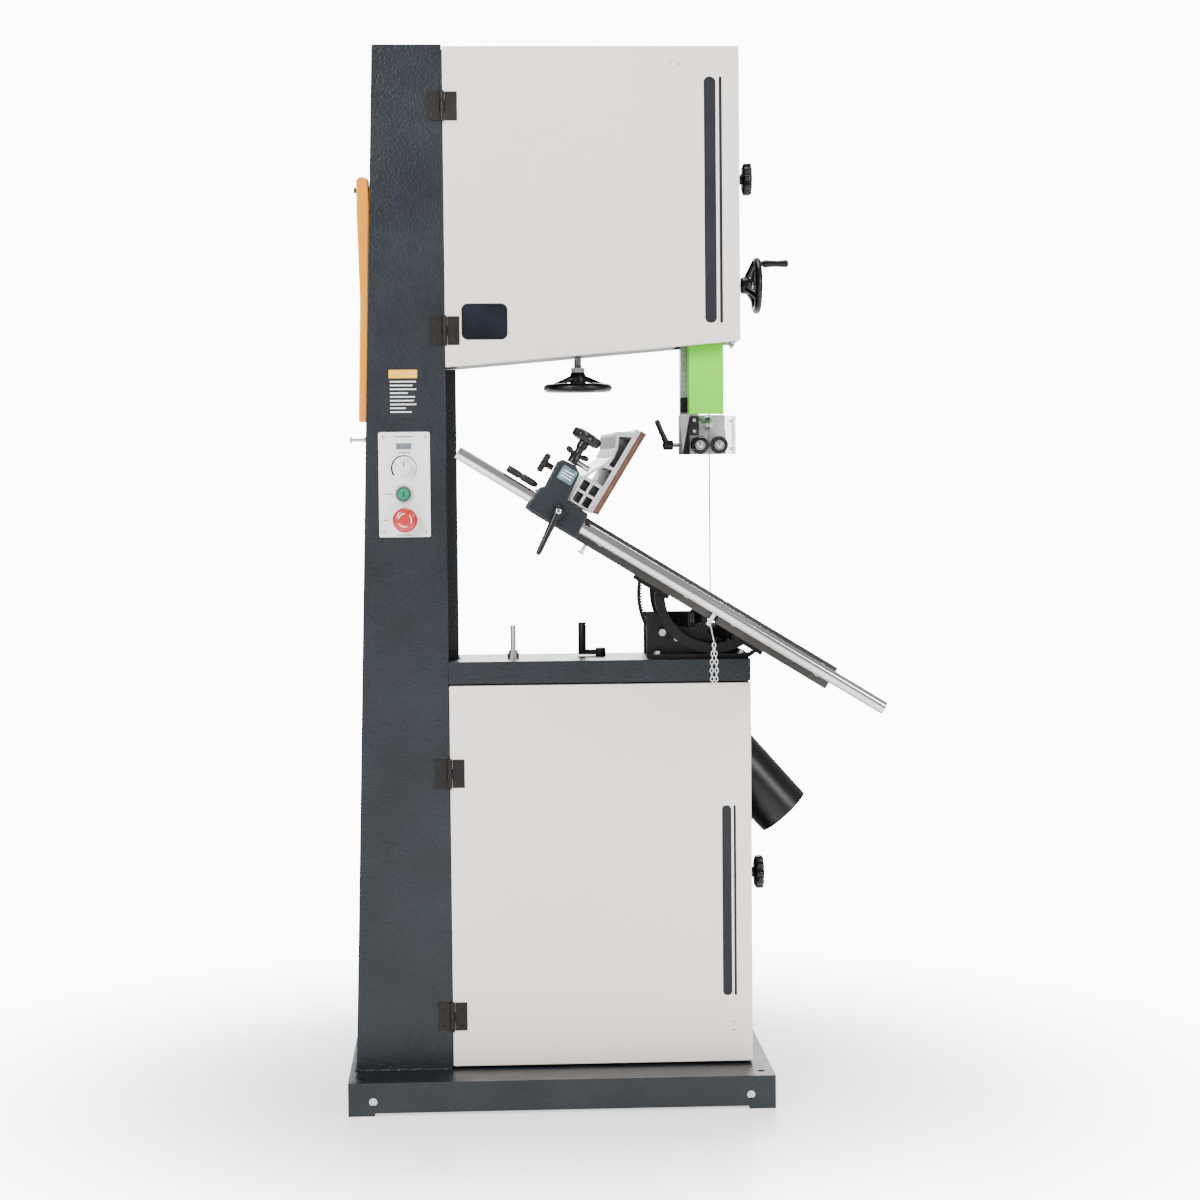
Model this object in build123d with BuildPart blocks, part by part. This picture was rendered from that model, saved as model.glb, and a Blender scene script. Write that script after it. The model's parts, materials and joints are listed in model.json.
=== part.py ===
"""Upright band saw with 450 mm wheels, a tilting table and a rip fence. Millimetres, +Z up, front to -Y."""

from math import atan2, cos, pi, radians, sin
import os

from build123d import *

os.makedirs("parts", exist_ok=True)

# Frame
HEIGHT = 1800
BASE_W, BASE_D, BASE_H = 722, 420, 56.5
FOOT_H = 8
BOLT_X, BOLT_Y, BOLT_R = 680, 350, 7
SHEET = 2.5
COLUMN_T = 3
FRONT = -118
PAN_DEPTH = 35
HOUSING_FRONT = FRONT + PAN_DEPTH + 0.5
HOUSING_BACK = 62
COLUMN_BACK = 82
COLUMN_RIGHT = -185
COLUMN_LEFT_TOP, COLUMN_LEFT_FOOT = -302, -350
UPPER_RIGHT, LOWER_RIGHT = 318, 332
UPPER_TOP, UPPER_LOW_LEFT, UPPER_LOW_RIGHT = 1797, 1258, 1300
DOOR_LOW, DOOR_TOP = 61, 716
BEAM_BOTTOM, BEAM_TOP = 719, 757

# Blade and wheels
WHEEL_D = 450
BLADE_T, BLADE_W = 0.8, 20
BLADE_Y = -30
TYRE_T = 5
TYRE_W = 28
BLADE_GAP = 0.3
WHEEL_X = 46
UPPER_Z, LOWER_Z = 1550, 390
AXLE_R = 12.45
BEARING_IN, BEARING_OUT, BEARING_W = 12.5, 26, 14
HUB_R, HUB_FRONT, HUB_BACK = 36, -52, -8
BLADE_X = WHEEL_X + WHEEL_D / 2

# Motor and belt
MOTOR_X, MOTOR_Z, MOTOR_R = -80, 200, 70
PULLEY_R, MOTOR_PULLEY_R = 75, 30
BELT_T = 4
GROOVE_COUNT, GROOVE_PITCH, GROOVE_W, GROOVE_DEPTH = 5, 3.4, 1.6, 1.6
FIRST_GROOVE_Y = -3

# Knobs, screws and sliding fits
SLIP = 0.06
SCREW_Y, SCREW_R = 20, 7
LATCH_Y, UPPER_LATCH_Z, LOWER_LATCH_Z = -58, 1578, 380

# Guide post
POST_X0, POST_X1, POST_Y0, POST_Y1 = 224, 256, -8, 22.2
POST_BOTTOM, POST_TOP = 1176, 1640
MODULE = 1.5
PINION_TEETH = 16
PINION_R = MODULE * PINION_TEETH / 2
PINION_SHAFT_R = 6
ADDENDUM, DEDENDUM = 1.2, 1.8
POST_WHEEL_Z = 1403
PITCH_Y = 24
POST_WHEEL_Y = PITCH_Y + PINION_R
GUIDE_BOTTOM = 1107
ROLLER_R = 15.5
ROLLER_OFFSET = 16.8

# Table, in its own tilted plane
TILT = 31.5
PIVOT_X, PIVOT_Z = 271, 866.5
TABLE_LEFT, TABLE_RIGHT = -348, 215
TABLE_FRONT, TABLE_REAR = -318, 170
TABLE_T, TABLE_SKIN, RIM = 40, 12, 12
INSERT_R = 31
RAIL_R, RAIL_Y, RAIL_N = 10.5, -345, -17.3
RAIL_LEFT, RAIL_RIGHT = -500, 310
ARM_IN, ARM_OUT = 84, 101
RING_OUT = 129
RING_TEETH = 162
RING_R = MODULE * RING_TEETH / 2
PINION_ANGLE = 216.4
FENCE_FACE = -254
CHAIN_X, CHAIN_Y, CHAIN_TOP, CHAIN_FOOT = 249, -337, 803, 726

TABLE = Plane(
    origin=(PIVOT_X, 0, PIVOT_Z),
    x_dir=(cos(radians(TILT)), 0, -sin(radians(TILT))),
    z_dir=(sin(radians(TILT)), 0, cos(radians(TILT))),
)


# Helpers

FORWARDS = (0, -1, 0)


def front(y):
    """The XZ plane at this y, seen from the front. Extruding by a positive amount goes towards the front."""
    return Plane.XZ.offset(-y)


def table_front(y):
    """The table's own across-and-up plane at this y, seen from the front."""
    return Plane(origin=(PIVOT_X, y, PIVOT_Z), x_dir=TABLE.x_dir, z_dir=(0, -1, 0))


def block(x0, x1, y0, y1, z0, z1, mode=Mode.ADD):
    """A box between two corners."""
    with Locations(((x0 + x1) / 2, (y0 + y1) / 2, (z0 + z1) / 2)):
        Box(x1 - x0, y1 - y0, z1 - z0, mode=mode)


def rod(start, direction, radius, length, mode=Mode.ADD):
    """A cylinder from a start point along a direction."""
    with Locations(Plane(origin=start, z_dir=direction)):
        Cylinder(radius, length, align=(Align.CENTER, Align.CENTER, Align.MIN), mode=mode)


def panel(points, back_y, depth, mode=Mode.ADD):
    """A flat outline in XZ, extruded forwards from back_y."""
    with BuildSketch(front(back_y)) as outline:
        Polygon(*points, align=None)
    extrude(outline.sketch, amount=depth, dir=FORWARDS, mode=mode)


def inset_panel(points, inset, back_y, depth, mode=Mode.SUBTRACT):
    """The same outline, made smaller all round by inset."""
    with BuildSketch(front(back_y)) as outline:
        Polygon(*points, align=None)
        offset(amount=-inset, kind=Kind.INTERSECTION, mode=Mode.REPLACE)
    extrude(outline.sketch, amount=depth, dir=FORWARDS, mode=mode)


def save(piece, name):
    """Labels a finished piece and writes it."""
    piece.part.label = name
    export_step(piece.part, f"parts/{name}.step")


def pinion_points(phase_deg):
    """Outline of the small gear, with a tooth centred on phase_deg."""
    half = (0.42, 0.30, 0.16)
    pitch = 2 * pi / PINION_TEETH
    points = []
    for tooth in range(PINION_TEETH):
        middle = radians(phase_deg) + tooth * pitch
        for radius, spread in (
            (PINION_R - DEDENDUM, -half[0]),
            (PINION_R + ADDENDUM, -half[2]),
            (PINION_R + ADDENDUM, half[2]),
            (PINION_R - DEDENDUM, half[0]),
        ):
            angle = middle + spread * pitch * 0.8
            points.append((radius * cos(angle), radius * sin(angle)))
    return points


# Frame

with BuildPart() as base_pan:
    block(-BASE_W / 2, BASE_W / 2, -BASE_D / 2, BASE_D / 2, FOOT_H - 3, BASE_H)
    block(-BASE_W / 2 + 4, BASE_W / 2 - 4, -BASE_D / 2 + 4, BASE_D / 2 - 4, 0, BASE_H - 4, Mode.SUBTRACT)
    with Locations((0, 0, FOOT_H / 2)):
        with GridLocations(BOLT_X - 3, BOLT_Y + 25, 2, 2):
            Box(45, 45, FOOT_H)
    with Locations((0, 0, BASE_H / 2)):
        with GridLocations(BOLT_X, BOLT_Y, 2, 2):
            Cylinder(BOLT_R, BASE_H + 10, mode=Mode.SUBTRACT)
    for side in (-1, 1):
        rod((side * 319, -BASE_D / 2 - 1, 24), (0, 1, 0), BOLT_R, 10, Mode.SUBTRACT)
save(base_pan, "base_pan")

COLUMN = [
    (COLUMN_LEFT_FOOT, BASE_H),
    (COLUMN_RIGHT, BASE_H),
    (COLUMN_RIGHT, HEIGHT),
    (COLUMN_LEFT_TOP, HEIGHT),
]
# The channel that covers the returning blade is welded to the column's right side
GUARD_RIGHT, GUARD_Y0, GUARD_Y1, GUARD_TOP, GUARD_T = -167, -50, -10, 1256, 1.5
with BuildPart() as spine_column:
    panel(COLUMN, COLUMN_BACK, COLUMN_BACK - FRONT)
    inset_panel(COLUMN, COLUMN_T, COLUMN_BACK - COLUMN_T, COLUMN_BACK - FRONT - 2 * COLUMN_T)
    block(
        COLUMN_LEFT_FOOT + 5, COLUMN_RIGHT - COLUMN_T, FRONT + COLUMN_T, COLUMN_BACK - COLUMN_T,
        BASE_H, BASE_H + 4, Mode.SUBTRACT,
    )
    block(COLUMN_RIGHT, GUARD_RIGHT, GUARD_Y0, GUARD_Y1, BEAM_TOP, GUARD_TOP)
    block(
        COLUMN_RIGHT, GUARD_RIGHT - GUARD_T, GUARD_Y0 + GUARD_T, GUARD_Y1 - GUARD_T,
        BEAM_TOP - 1, GUARD_TOP + 1, Mode.SUBTRACT,
    )
save(spine_column, "spine_column")

UPPER = [
    (COLUMN_RIGHT, UPPER_LOW_LEFT),
    (UPPER_RIGHT, UPPER_LOW_RIGHT),
    (UPPER_RIGHT, UPPER_TOP),
    (COLUMN_RIGHT, UPPER_TOP),
]
GUIDE_BAR_X = 44
SLEEVE_BOTTOM, SLEEVE_TOP = 1318, 1350
with BuildPart() as upper_housing:
    panel(UPPER, HOUSING_BACK, HOUSING_BACK - HOUSING_FRONT)
    inset_panel(UPPER, SHEET, HOUSING_BACK - SHEET, HOUSING_BACK - HOUSING_FRONT)
    block(212, 300, -78, 30, 1270, 1320, Mode.SUBTRACT)
    block(COLUMN_RIGHT + SHEET, GUARD_RIGHT + 3, GUARD_Y0 - 2, GUARD_Y1 + 2, 1250, 1290, Mode.SUBTRACT)
    rod((WHEEL_X, SCREW_Y, 1250), (0, 0, 1), SCREW_R + 2, 60, Mode.SUBTRACT)
    rod((300, POST_WHEEL_Y, POST_WHEEL_Z), (1, 0, 0), 8, 40, Mode.SUBTRACT)
    rod((300, LATCH_Y, UPPER_LATCH_Z), (1, 0, 0), 8, 40, Mode.SUBTRACT)
    for side in (-1, 1):
        bar = WHEEL_X + side * GUIDE_BAR_X
        block(bar - 4, bar + 4, 36, HOUSING_BACK - SHEET, 1420, 1700)
    block(WHEEL_X - 30, WHEEL_X + 30, 4, HOUSING_BACK - SHEET, 1320, 1328)
    rod((WHEEL_X, SCREW_Y, 1318), (0, 0, 1), SCREW_R + SLIP, 20, Mode.SUBTRACT)
    block(POST_X0 - 10, POST_X1 + 10, POST_Y0 - 8, HOUSING_BACK - SHEET, SLEEVE_BOTTOM, SLEEVE_TOP)
    block(
        POST_X0 - SLIP, POST_X1 + SLIP, POST_Y0 - SLIP, PITCH_Y + ADDENDUM + 0.4,
        SLEEVE_BOTTOM - 1, SLEEVE_TOP + 1, Mode.SUBTRACT,
    )
    block(POST_X1 + 2.5, POST_X1 + 11, 27, HOUSING_BACK - SHEET, SLEEVE_TOP, 1424)
    rod((250, POST_WHEEL_Y, POST_WHEEL_Z), (1, 0, 0), PINION_SHAFT_R + SLIP, 30, Mode.SUBTRACT)
save(upper_housing, "upper_housing")

with BuildPart() as lower_housing:
    block(COLUMN_RIGHT, LOWER_RIGHT, HOUSING_FRONT, HOUSING_BACK, BASE_H, BEAM_TOP)
    block(COLUMN_RIGHT, LOWER_RIGHT, FRONT, HOUSING_FRONT, BEAM_BOTTOM, BEAM_TOP)
    block(
        COLUMN_RIGHT + SHEET, LOWER_RIGHT - SHEET, HOUSING_FRONT - 1, HOUSING_BACK - SHEET,
        BASE_H + 3, BEAM_TOP - 5, Mode.SUBTRACT,
    )
    block(
        COLUMN_RIGHT + SHEET, LOWER_RIGHT - SHEET, FRONT + 3, HOUSING_FRONT,
        BEAM_BOTTOM + 3, BEAM_TOP - 5, Mode.SUBTRACT,
    )
    block(COLUMN_RIGHT + SHEET, GUARD_RIGHT + 3, GUARD_Y0 - 2, GUARD_Y1 + 2, 740, 760, Mode.SUBTRACT)
    block(240, 303, -42, 0, 740, 760, Mode.SUBTRACT)
    block(196, 345, -60, -42, 735, 760, Mode.SUBTRACT)
    rod((MOTOR_X, 50, MOTOR_Z), (0, 1, 0), 40, 20, Mode.SUBTRACT)
    rod((320, LATCH_Y, LOWER_LATCH_Z), (1, 0, 0), 8, 20, Mode.SUBTRACT)
    with BuildSketch(Plane.YZ.offset(325)):
        with Locations((-20, 553.5)):
            Ellipse(46, 69)
    extrude(amount=10, mode=Mode.SUBTRACT)
save(lower_housing, "lower_housing")

# Doors, with a hinge line just in front of the column's right edge

HINGE_X, HINGE_Y = COLUMN_RIGHT + 0.5, FRONT - 4.1
KNUCKLE_R, PIN_R, LEAF_W, LEAF_H = 4, 2, 25, 48.5
DOOR_LEFT = COLUMN_RIGHT + 1
UPPER_DOOR = [
    (DOOR_LEFT, UPPER_LOW_LEFT),
    (UPPER_RIGHT, UPPER_LOW_RIGHT),
    (UPPER_RIGHT, UPPER_TOP),
    (DOOR_LEFT, UPPER_TOP),
]
LOWER_DOOR = [
    (DOOR_LEFT, DOOR_LOW),
    (LOWER_RIGHT, DOOR_LOW),
    (LOWER_RIGHT, DOOR_TOP),
    (DOOR_LEFT, DOOR_TOP),
]
UPPER_HINGES = (1696.5, 1319.5)
LOWER_HINGES = (566, 148)


def leaf(side, middle, low, high):
    """Part of a hinge leaf: a strip on one side of the pin and its knuckle, from low to high about middle."""
    x0, x1 = sorted((HINGE_X, HINGE_X + side * LEAF_W))
    block(x0, x1, FRONT - 2.1, FRONT - 0.1, middle + low, middle + high)
    rod((HINGE_X, HINGE_Y, middle + low), (0, 0, 1), KNUCKLE_R, high - low)
    rod((HINGE_X, HINGE_Y, middle + low - 1), (0, 0, 1), PIN_R + 0.06, high - low + 2, Mode.SUBTRACT)


def plate(side, middle):
    """The rest of a leaf, clear of the other leaf's knuckle."""
    x0, x1 = sorted((HINGE_X + side * 5, HINGE_X + side * LEAF_W))
    block(x0, x1, FRONT - 2.1, FRONT - 0.1, middle - LEAF_H / 2, middle + LEAF_H / 2)


with BuildPart() as column_hinges:
    for middle in UPPER_HINGES + LOWER_HINGES:
        leaf(-1, middle, -LEAF_H / 2, -8.2)
        leaf(-1, middle, 8.2, LEAF_H / 2)
        plate(-1, middle)
        rod((HINGE_X, HINGE_Y, middle - LEAF_H / 2 - 1), (0, 0, 1), PIN_R, LEAF_H + 2)
        for end in (-1, 1):
            with Locations((HINGE_X, HINGE_Y, middle + end * (LEAF_H / 2 + 0.75))):
                Cylinder(PIN_R + 1, 1.5)
save(column_hinges, "column_hinges")


def door(outline):
    """A folded pan: a front sheet with a flange all round."""
    panel(outline, FRONT + PAN_DEPTH, PAN_DEPTH)
    inset_panel(outline, 2, FRONT + PAN_DEPTH, PAN_DEPTH - 2)


WINDOW_X, WINDOW_Z, WINDOW_W, WINDOW_H = -117, 1334.5, 76, 59
with BuildPart() as upper_door:
    door(UPPER_DOOR)
    with BuildSketch(front(FRONT + 5)):
        with Locations((WINDOW_X, WINDOW_Z)):
            RectangleRounded(WINDOW_W, WINDOW_H, 10)
    extrude(amount=10, mode=Mode.SUBTRACT)
save(upper_door, "upper_door")

with BuildPart() as lower_door:
    door(LOWER_DOOR)
save(lower_door, "lower_door")

for name, middles in (("upper_door_leaves", UPPER_HINGES), ("lower_door_leaves", LOWER_HINGES)):
    with BuildPart() as door_leaves:
        for middle in middles:
            leaf(1, middle, -8, 8)
            plate(1, middle)
    save(door_leaves, name)

with BuildPart() as door_window:
    with BuildSketch(front(FRONT + 5)):
        with Locations((WINDOW_X, WINDOW_Z)):
            RectangleRounded(WINDOW_W + 14, WINDOW_H + 10, 12)
    extrude(amount=3)
save(door_window, "door_window")

for name, x, z, radius in (
    ("upper_latch_knob", UPPER_RIGHT, UPPER_LATCH_Z, 28),
    ("lower_latch_knob", LOWER_RIGHT, LOWER_LATCH_Z, 29),
):
    with BuildPart() as latch_knob:
        with BuildSketch(Plane(origin=(x + 9, LATCH_Y, z), z_dir=(1, 0, 0))):
            Circle(radius)
            with PolarLocations(radius + 2, 10):
                Circle(5, mode=Mode.SUBTRACT)
        extrude(amount=17)
        rod((x - 8, LATCH_Y, z), (1, 0, 0), 6, 18)
        rod((x - 8, LATCH_Y, z), (1, 0, 0), 14, 4)
    save(latch_knob, name)

# Wheels


def spin_disc(x, z, y0, y1, outer, inner, mode=Mode.ADD):
    """A ring about the Y axis at (x, z), from y0 to y1."""
    with BuildSketch(front(y1)) as ring:
        with Locations((x, z)):
            Circle(outer)
            if inner:
                Circle(inner, mode=Mode.SUBTRACT)
    extrude(ring.sketch, amount=y1 - y0, dir=FORWARDS, mode=mode)


def belt_grooves(x, z, radius):
    """The ring grooves of a ribbed pulley."""
    for groove in range(GROOVE_COUNT):
        y = FIRST_GROOVE_Y + GROOVE_PITCH * groove
        spin_disc(x, z, y, y + GROOVE_W, radius + 1, radius - GROOVE_DEPTH, Mode.SUBTRACT)


def wheel_casting(x, z):
    """Rim, six spokes and hub, bored for the bearings."""
    rim = WHEEL_D / 2 - BLADE_GAP - TYRE_T
    spin_disc(x, z, BLADE_Y - TYRE_W / 2, BLADE_Y + TYRE_W / 2, rim, rim - 10)
    spin_disc(x, z, HUB_FRONT, HUB_BACK, HUB_R, 0)
    with BuildSketch(front(BLADE_Y + 5)) as spokes:
        with Locations((x, z)):
            with PolarLocations((rim + HUB_R - 10) / 2, 6, start_angle=15):
                Rectangle(rim - HUB_R - 6, 26)
    extrude(spokes.sketch, amount=10, dir=FORWARDS)
    spin_disc(x, z, HUB_FRONT - 1, HUB_BACK + 1, BEARING_OUT, 0, Mode.SUBTRACT)


for label, z in (("upper", UPPER_Z), ("lower", LOWER_Z)):
    with BuildPart() as wheel:
        wheel_casting(WHEEL_X, z)
        if label == "lower":
            spin_disc(WHEEL_X, z, HUB_BACK, 16, PULLEY_R, 20)
            belt_grooves(WHEEL_X, z, PULLEY_R)
    save(wheel, f"{label}_wheel")
    with BuildPart() as tyre:
        outer = WHEEL_D / 2 - BLADE_GAP
        spin_disc(WHEEL_X, z, BLADE_Y - TYRE_W / 2, BLADE_Y + TYRE_W / 2, outer, outer - TYRE_T)
    save(tyre, f"{label}_tyre")
    with BuildPart() as bearings:
        for y in (HUB_FRONT + 2, HUB_BACK - 2 - BEARING_W):
            spin_disc(WHEEL_X, z, y, y + BEARING_W, BEARING_OUT, BEARING_IN)
    save(bearings, f"{label}_bearings")

with BuildPart() as lower_shaft:
    rod((WHEEL_X, HUB_FRONT - 4, LOWER_Z), (0, 1, 0), AXLE_R, HOUSING_BACK - SHEET - HUB_FRONT + 4)
    rod((WHEEL_X, HUB_FRONT - 4, LOWER_Z), (0, 1, 0), 18, 3)
    rod((WHEEL_X, 30, LOWER_Z), (0, 1, 0), 34, HOUSING_BACK - SHEET - 30)
save(lower_shaft, "lower_shaft")

with BuildPart() as blade:
    with BuildSketch(front(BLADE_Y + BLADE_W / 2)):
        with Locations((WHEEL_X, (UPPER_Z + LOWER_Z) / 2)):
            SlotCenterToCenter(UPPER_Z - LOWER_Z, WHEEL_D + 2 * BLADE_T, rotation=90)
            SlotCenterToCenter(UPPER_Z - LOWER_Z, WHEEL_D, rotation=90, mode=Mode.SUBTRACT)
    extrude(amount=BLADE_W)
save(blade, "blade")

# Tension carriage: it slides on the two bars, carries the upper axle, and holds the nut of the tension screw

with BuildPart() as tension_carriage:
    block(WHEEL_X - 39.94, WHEEL_X + 39.94, 8, 58, 1490, 1620)
    block(WHEEL_X - 18, WHEEL_X + 18, 4, 36, 1440, 1490)
    rod((WHEEL_X, HUB_FRONT - 4, UPPER_Z), (0, 1, 0), AXLE_R, 14 - HUB_FRONT)
    rod((WHEEL_X, HUB_FRONT - 4, UPPER_Z), (0, 1, 0), 18, 3)
    rod((WHEEL_X, SCREW_Y, 1430), (0, 0, 1), SCREW_R + SLIP, 105, Mode.SUBTRACT)
save(tension_carriage, "tension_carriage")

SPRING_TURNS, SPRING_PITCH, SPRING_R, WIRE_R = 5, 9, 12, 2
with BuildPart() as tension_spring:
    with BuildLine() as coil:
        Helix(SPRING_PITCH, SPRING_PITCH * SPRING_TURNS, SPRING_R, center=(WHEEL_X, SCREW_Y, 1390))
    with BuildSketch(Plane(origin=coil.line @ 0, z_dir=coil.line % 0)):
        Circle(WIRE_R)
    sweep(is_frenet=True)
save(tension_spring, "tension_spring")

TENSION_R, TENSION_RIM, TENSION_Z = 61, 8.5, 1225
with BuildPart() as tension_handwheel:
    with Locations((WHEEL_X, SCREW_Y, TENSION_Z)):
        Torus(TENSION_R - TENSION_RIM - 0.5, TENSION_RIM)
    for spoke in range(3):
        angle = radians(90 + 120 * spoke)
        foot = (WHEEL_X + 10 * cos(angle), SCREW_Y + 10 * sin(angle), TENSION_Z + 13)
        rod(foot, (cos(angle), sin(angle), -0.28), 5, TENSION_R - 17)
    rod((WHEEL_X, SCREW_Y, TENSION_Z + 3), (0, 0, 1), 14, 24)
    rod((WHEEL_X, SCREW_Y, TENSION_Z - 1), (0, 0, 1), SCREW_R, 276)
    with BuildSketch(Plane.XY.offset(TENSION_Z + 27)):
        with Locations((WHEEL_X, SCREW_Y)):
            RegularPolygon(12, 6)
    extrude(amount=8)
save(tension_handwheel, "tension_handwheel")

# Guide post, with a rack on its back face

RACK_LOW, RACK_TEETH = 1277, 62
RACK_PITCH = pi * MODULE


def rack_points():
    """The rack's outline in YZ, with a gap centred on the pinion."""
    first = POST_WHEEL_Z - RACK_PITCH * (round((POST_WHEEL_Z - RACK_LOW) / RACK_PITCH) + 0.5)
    points = [(POST_Y1 - 1, first - RACK_PITCH / 2)]
    for tooth in range(RACK_TEETH):
        middle = first + tooth * RACK_PITCH
        points += [
            (PITCH_Y - DEDENDUM, middle - 1.75),
            (PITCH_Y + ADDENDUM, middle - 0.6),
            (PITCH_Y + ADDENDUM, middle + 0.6),
            (PITCH_Y - DEDENDUM, middle + 1.75),
        ]
    points.append((POST_Y1 - 1, points[-1][1] + 1))
    return points


with BuildPart() as guide_post:
    block(POST_X0, POST_X1, POST_Y0, POST_Y1, POST_BOTTOM, POST_TOP)
    with BuildSketch(Plane.YZ.offset(POST_X0 + 8)):
        Polygon(*rack_points(), align=None)
    extrude(amount=16)
save(guide_post, "guide_post")

POST_RIM_X, POST_RIM_R = 362, 50
with BuildPart() as post_pinion:
    gear_side = (POST_X0 + 8, POST_WHEEL_Y, POST_WHEEL_Z)
    with BuildSketch(Plane(origin=gear_side, x_dir=(0, 1, 0), z_dir=(1, 0, 0))):
        Polygon(*pinion_points(180), align=None)
    extrude(amount=16)
    rod(gear_side, (1, 0, 0), PINION_SHAFT_R, 118)
save(post_pinion, "post_pinion")

with BuildPart() as post_handwheel:
    with BuildSketch(Plane(origin=(POST_RIM_X - 6, POST_WHEEL_Y, POST_WHEEL_Z), z_dir=(1, 0, 0))):
        Circle(POST_RIM_R)
        Circle(POST_RIM_R - 13, mode=Mode.SUBTRACT)
    extrude(amount=13)
    fillet(post_handwheel.edges(), 4)
    for spoke in range(3):
        angle = radians(90 + 120 * spoke)
        foot = (344, POST_WHEEL_Y + 10 * cos(angle), POST_WHEEL_Z + 10 * sin(angle))
        rod(foot, (0.5, cos(angle), sin(angle)), 5, 35)
    rod((334, POST_WHEEL_Y, POST_WHEEL_Z), (1, 0, 0), 15, 18)
    rod((330, POST_WHEEL_Y, POST_WHEEL_Z), (1, 0, 0), PINION_SHAFT_R + SLIP, 40, Mode.SUBTRACT)
save(post_handwheel, "post_handwheel")

HANDLE_Z = POST_WHEEL_Z + POST_RIM_R - 12
with BuildPart() as post_handle:
    rod((POST_RIM_X + 7.5, POST_WHEEL_Y, HANDLE_Z), (1, 0, 0), 5, 8)
    rod((POST_RIM_X + 12, POST_WHEEL_Y, HANDLE_Z), (1, 0, 0), 7, 45)
    fillet(post_handle.faces().sort_by(Axis.X)[-1].edges(), 4)
save(post_handle, "post_handle")

COVER_X0, COVER_X1, COVER_Y0, COVER_Y1 = 234, 293, -72, -18
with BuildPart() as blade_cover:
    block(COVER_X0, COVER_X1, COVER_Y0, COVER_Y1, POST_BOTTOM, 1450)
    block(COVER_X0 + 1.5, COVER_X1 - 1.5, COVER_Y0 + 1.5, COVER_Y1 + 1, POST_BOTTOM - 1, 1451, Mode.SUBTRACT)
    block(COVER_X0 - 1, COVER_X0 + 2, COVER_Y0 + 1.5, COVER_Y1 + 1, 1300, 1451, Mode.SUBTRACT)
    block(222, COVER_X0 + 1.5, -32, POST_Y0, 1180, 1206)
save(blade_cover, "blade_cover")

# Upper guides, under the post

GUIDE_Z = GUIDE_BOTTOM + 16
ROLLERS = {"left": BLADE_X + 0.4 - ROLLER_OFFSET, "right": BLADE_X + 0.4 + ROLLER_OFFSET}
with BuildPart() as guide_bracket:
    block(222, 235, -62, 24, GUIDE_BOTTOM, POST_BOTTOM)
    block(222, 302, 6, 22, 1150, POST_BOTTOM)
    block(235, 304, 6, 14, GUIDE_BOTTOM, 1150)
    rod((200, -22, 1158), (1, 0, 0), 4, 60, Mode.SUBTRACT)
    block(235, 251, -60, -44, 1140, 1173)
    for x in ROLLERS.values():
        rod((x, -40, GUIDE_Z), (0, 1, 0), 4.94, 46)
        rod((x, -42, GUIDE_Z), (0, 1, 0), 8, 2)
    rod((235, -6.5, 1160), (1, 0, 0), 4, 45)
    rod((252, -6.5, 1160), (1, 0, 0), 9, 9)
    rod((267, -6.5, 1160), (1, 0, 0), 12.9, 9)
save(guide_bracket, "guide_bracket")

for side, x in ROLLERS.items():
    with BuildPart() as roller:
        spin_disc(x, GUIDE_Z, -39, -25, ROLLER_R, 5)
    save(roller, f"{side}_roller")

with BuildPart() as clear_guard:
    block(235, 315, -66, -63, GUIDE_BOTTOM, 1173)
    block(312, 315, -66, -20, GUIDE_BOTTOM, 1173)
    block(235, 262, -66, -62, 1116, 1136, Mode.SUBTRACT)
    block(222, 236, -66, -62, GUIDE_BOTTOM, 1173)
save(clear_guard, "clear_guard")

with BuildPart() as clamp_lever:
    rod((190, -40, 1123.5), (1, 0, 0), 8.5, 18)
    rod((198, -40, 1123.5), (1, 0, 0), 4, 24)
    with BuildSketch(Plane(origin=(197, -40, 1125), z_dir=(-18, 0, 42))):
        Circle(6)
    with BuildSketch(Plane(origin=(180, -40, 1164.7), z_dir=(-18, 0, 42))):
        Circle(4.5)
    loft()
    with Locations((180, -40, 1164.7)):
        Sphere(4.5)
save(clamp_lever, "clamp_lever")

with BuildPart() as lower_guides:
    block(236, 306, 2, 24, BEAM_TOP, 769)
    block(236, 306, 2, 10, 769, 812)
    for x in ROLLERS.values():
        rod((x, -40, 794), (0, 1, 0), 6, 42)
        rod((x, -38, 794), (0, 1, 0), ROLLER_R, 13)
save(lower_guides, "lower_guides")

# Motor and belt

with BuildPart() as motor:
    rod((MOTOR_X, 70, MOTOR_Z), (0, 1, 0), MOTOR_R, 115)
    rod((MOTOR_X, 185, MOTOR_Z), (0, 1, 0), MOTOR_R + 3, 22)
    block(MOTOR_X - 78, MOTOR_X + 78, HOUSING_BACK, 71, MOTOR_Z - 78, MOTOR_Z + 78)
    rod((MOTOR_X, 45, MOTOR_Z), (0, 1, 0), 36, 20)
    block(MOTOR_X - 40, MOTOR_X + 40, 90, 160, MOTOR_Z + 50, MOTOR_Z + 105)
    rod((MOTOR_X, 40, MOTOR_Z), (0, 1, 0), 9.56, 80, Mode.SUBTRACT)
save(motor, "motor")

with BuildPart() as motor_pulley:
    spin_disc(MOTOR_X, MOTOR_Z, -6, 16, MOTOR_PULLEY_R, 0)
    belt_grooves(MOTOR_X, MOTOR_Z, MOTOR_PULLEY_R)
    rod((MOTOR_X, 16, MOTOR_Z), (0, 1, 0), 9.5, 100)
save(motor_pulley, "motor_pulley")

with BuildPart() as drive_belt:
    for extra, mode in ((BLADE_GAP + BELT_T, Mode.ADD), (BLADE_GAP, Mode.SUBTRACT)):
        with BuildSketch(front(14)):
            with Locations((WHEEL_X, LOWER_Z)):
                Circle(PULLEY_R + extra)
            with Locations((MOTOR_X, MOTOR_Z)):
                Circle(MOTOR_PULLEY_R + extra)
            make_hull()
        extrude(amount=18, mode=mode)
save(drive_belt, "drive_belt")

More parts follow.
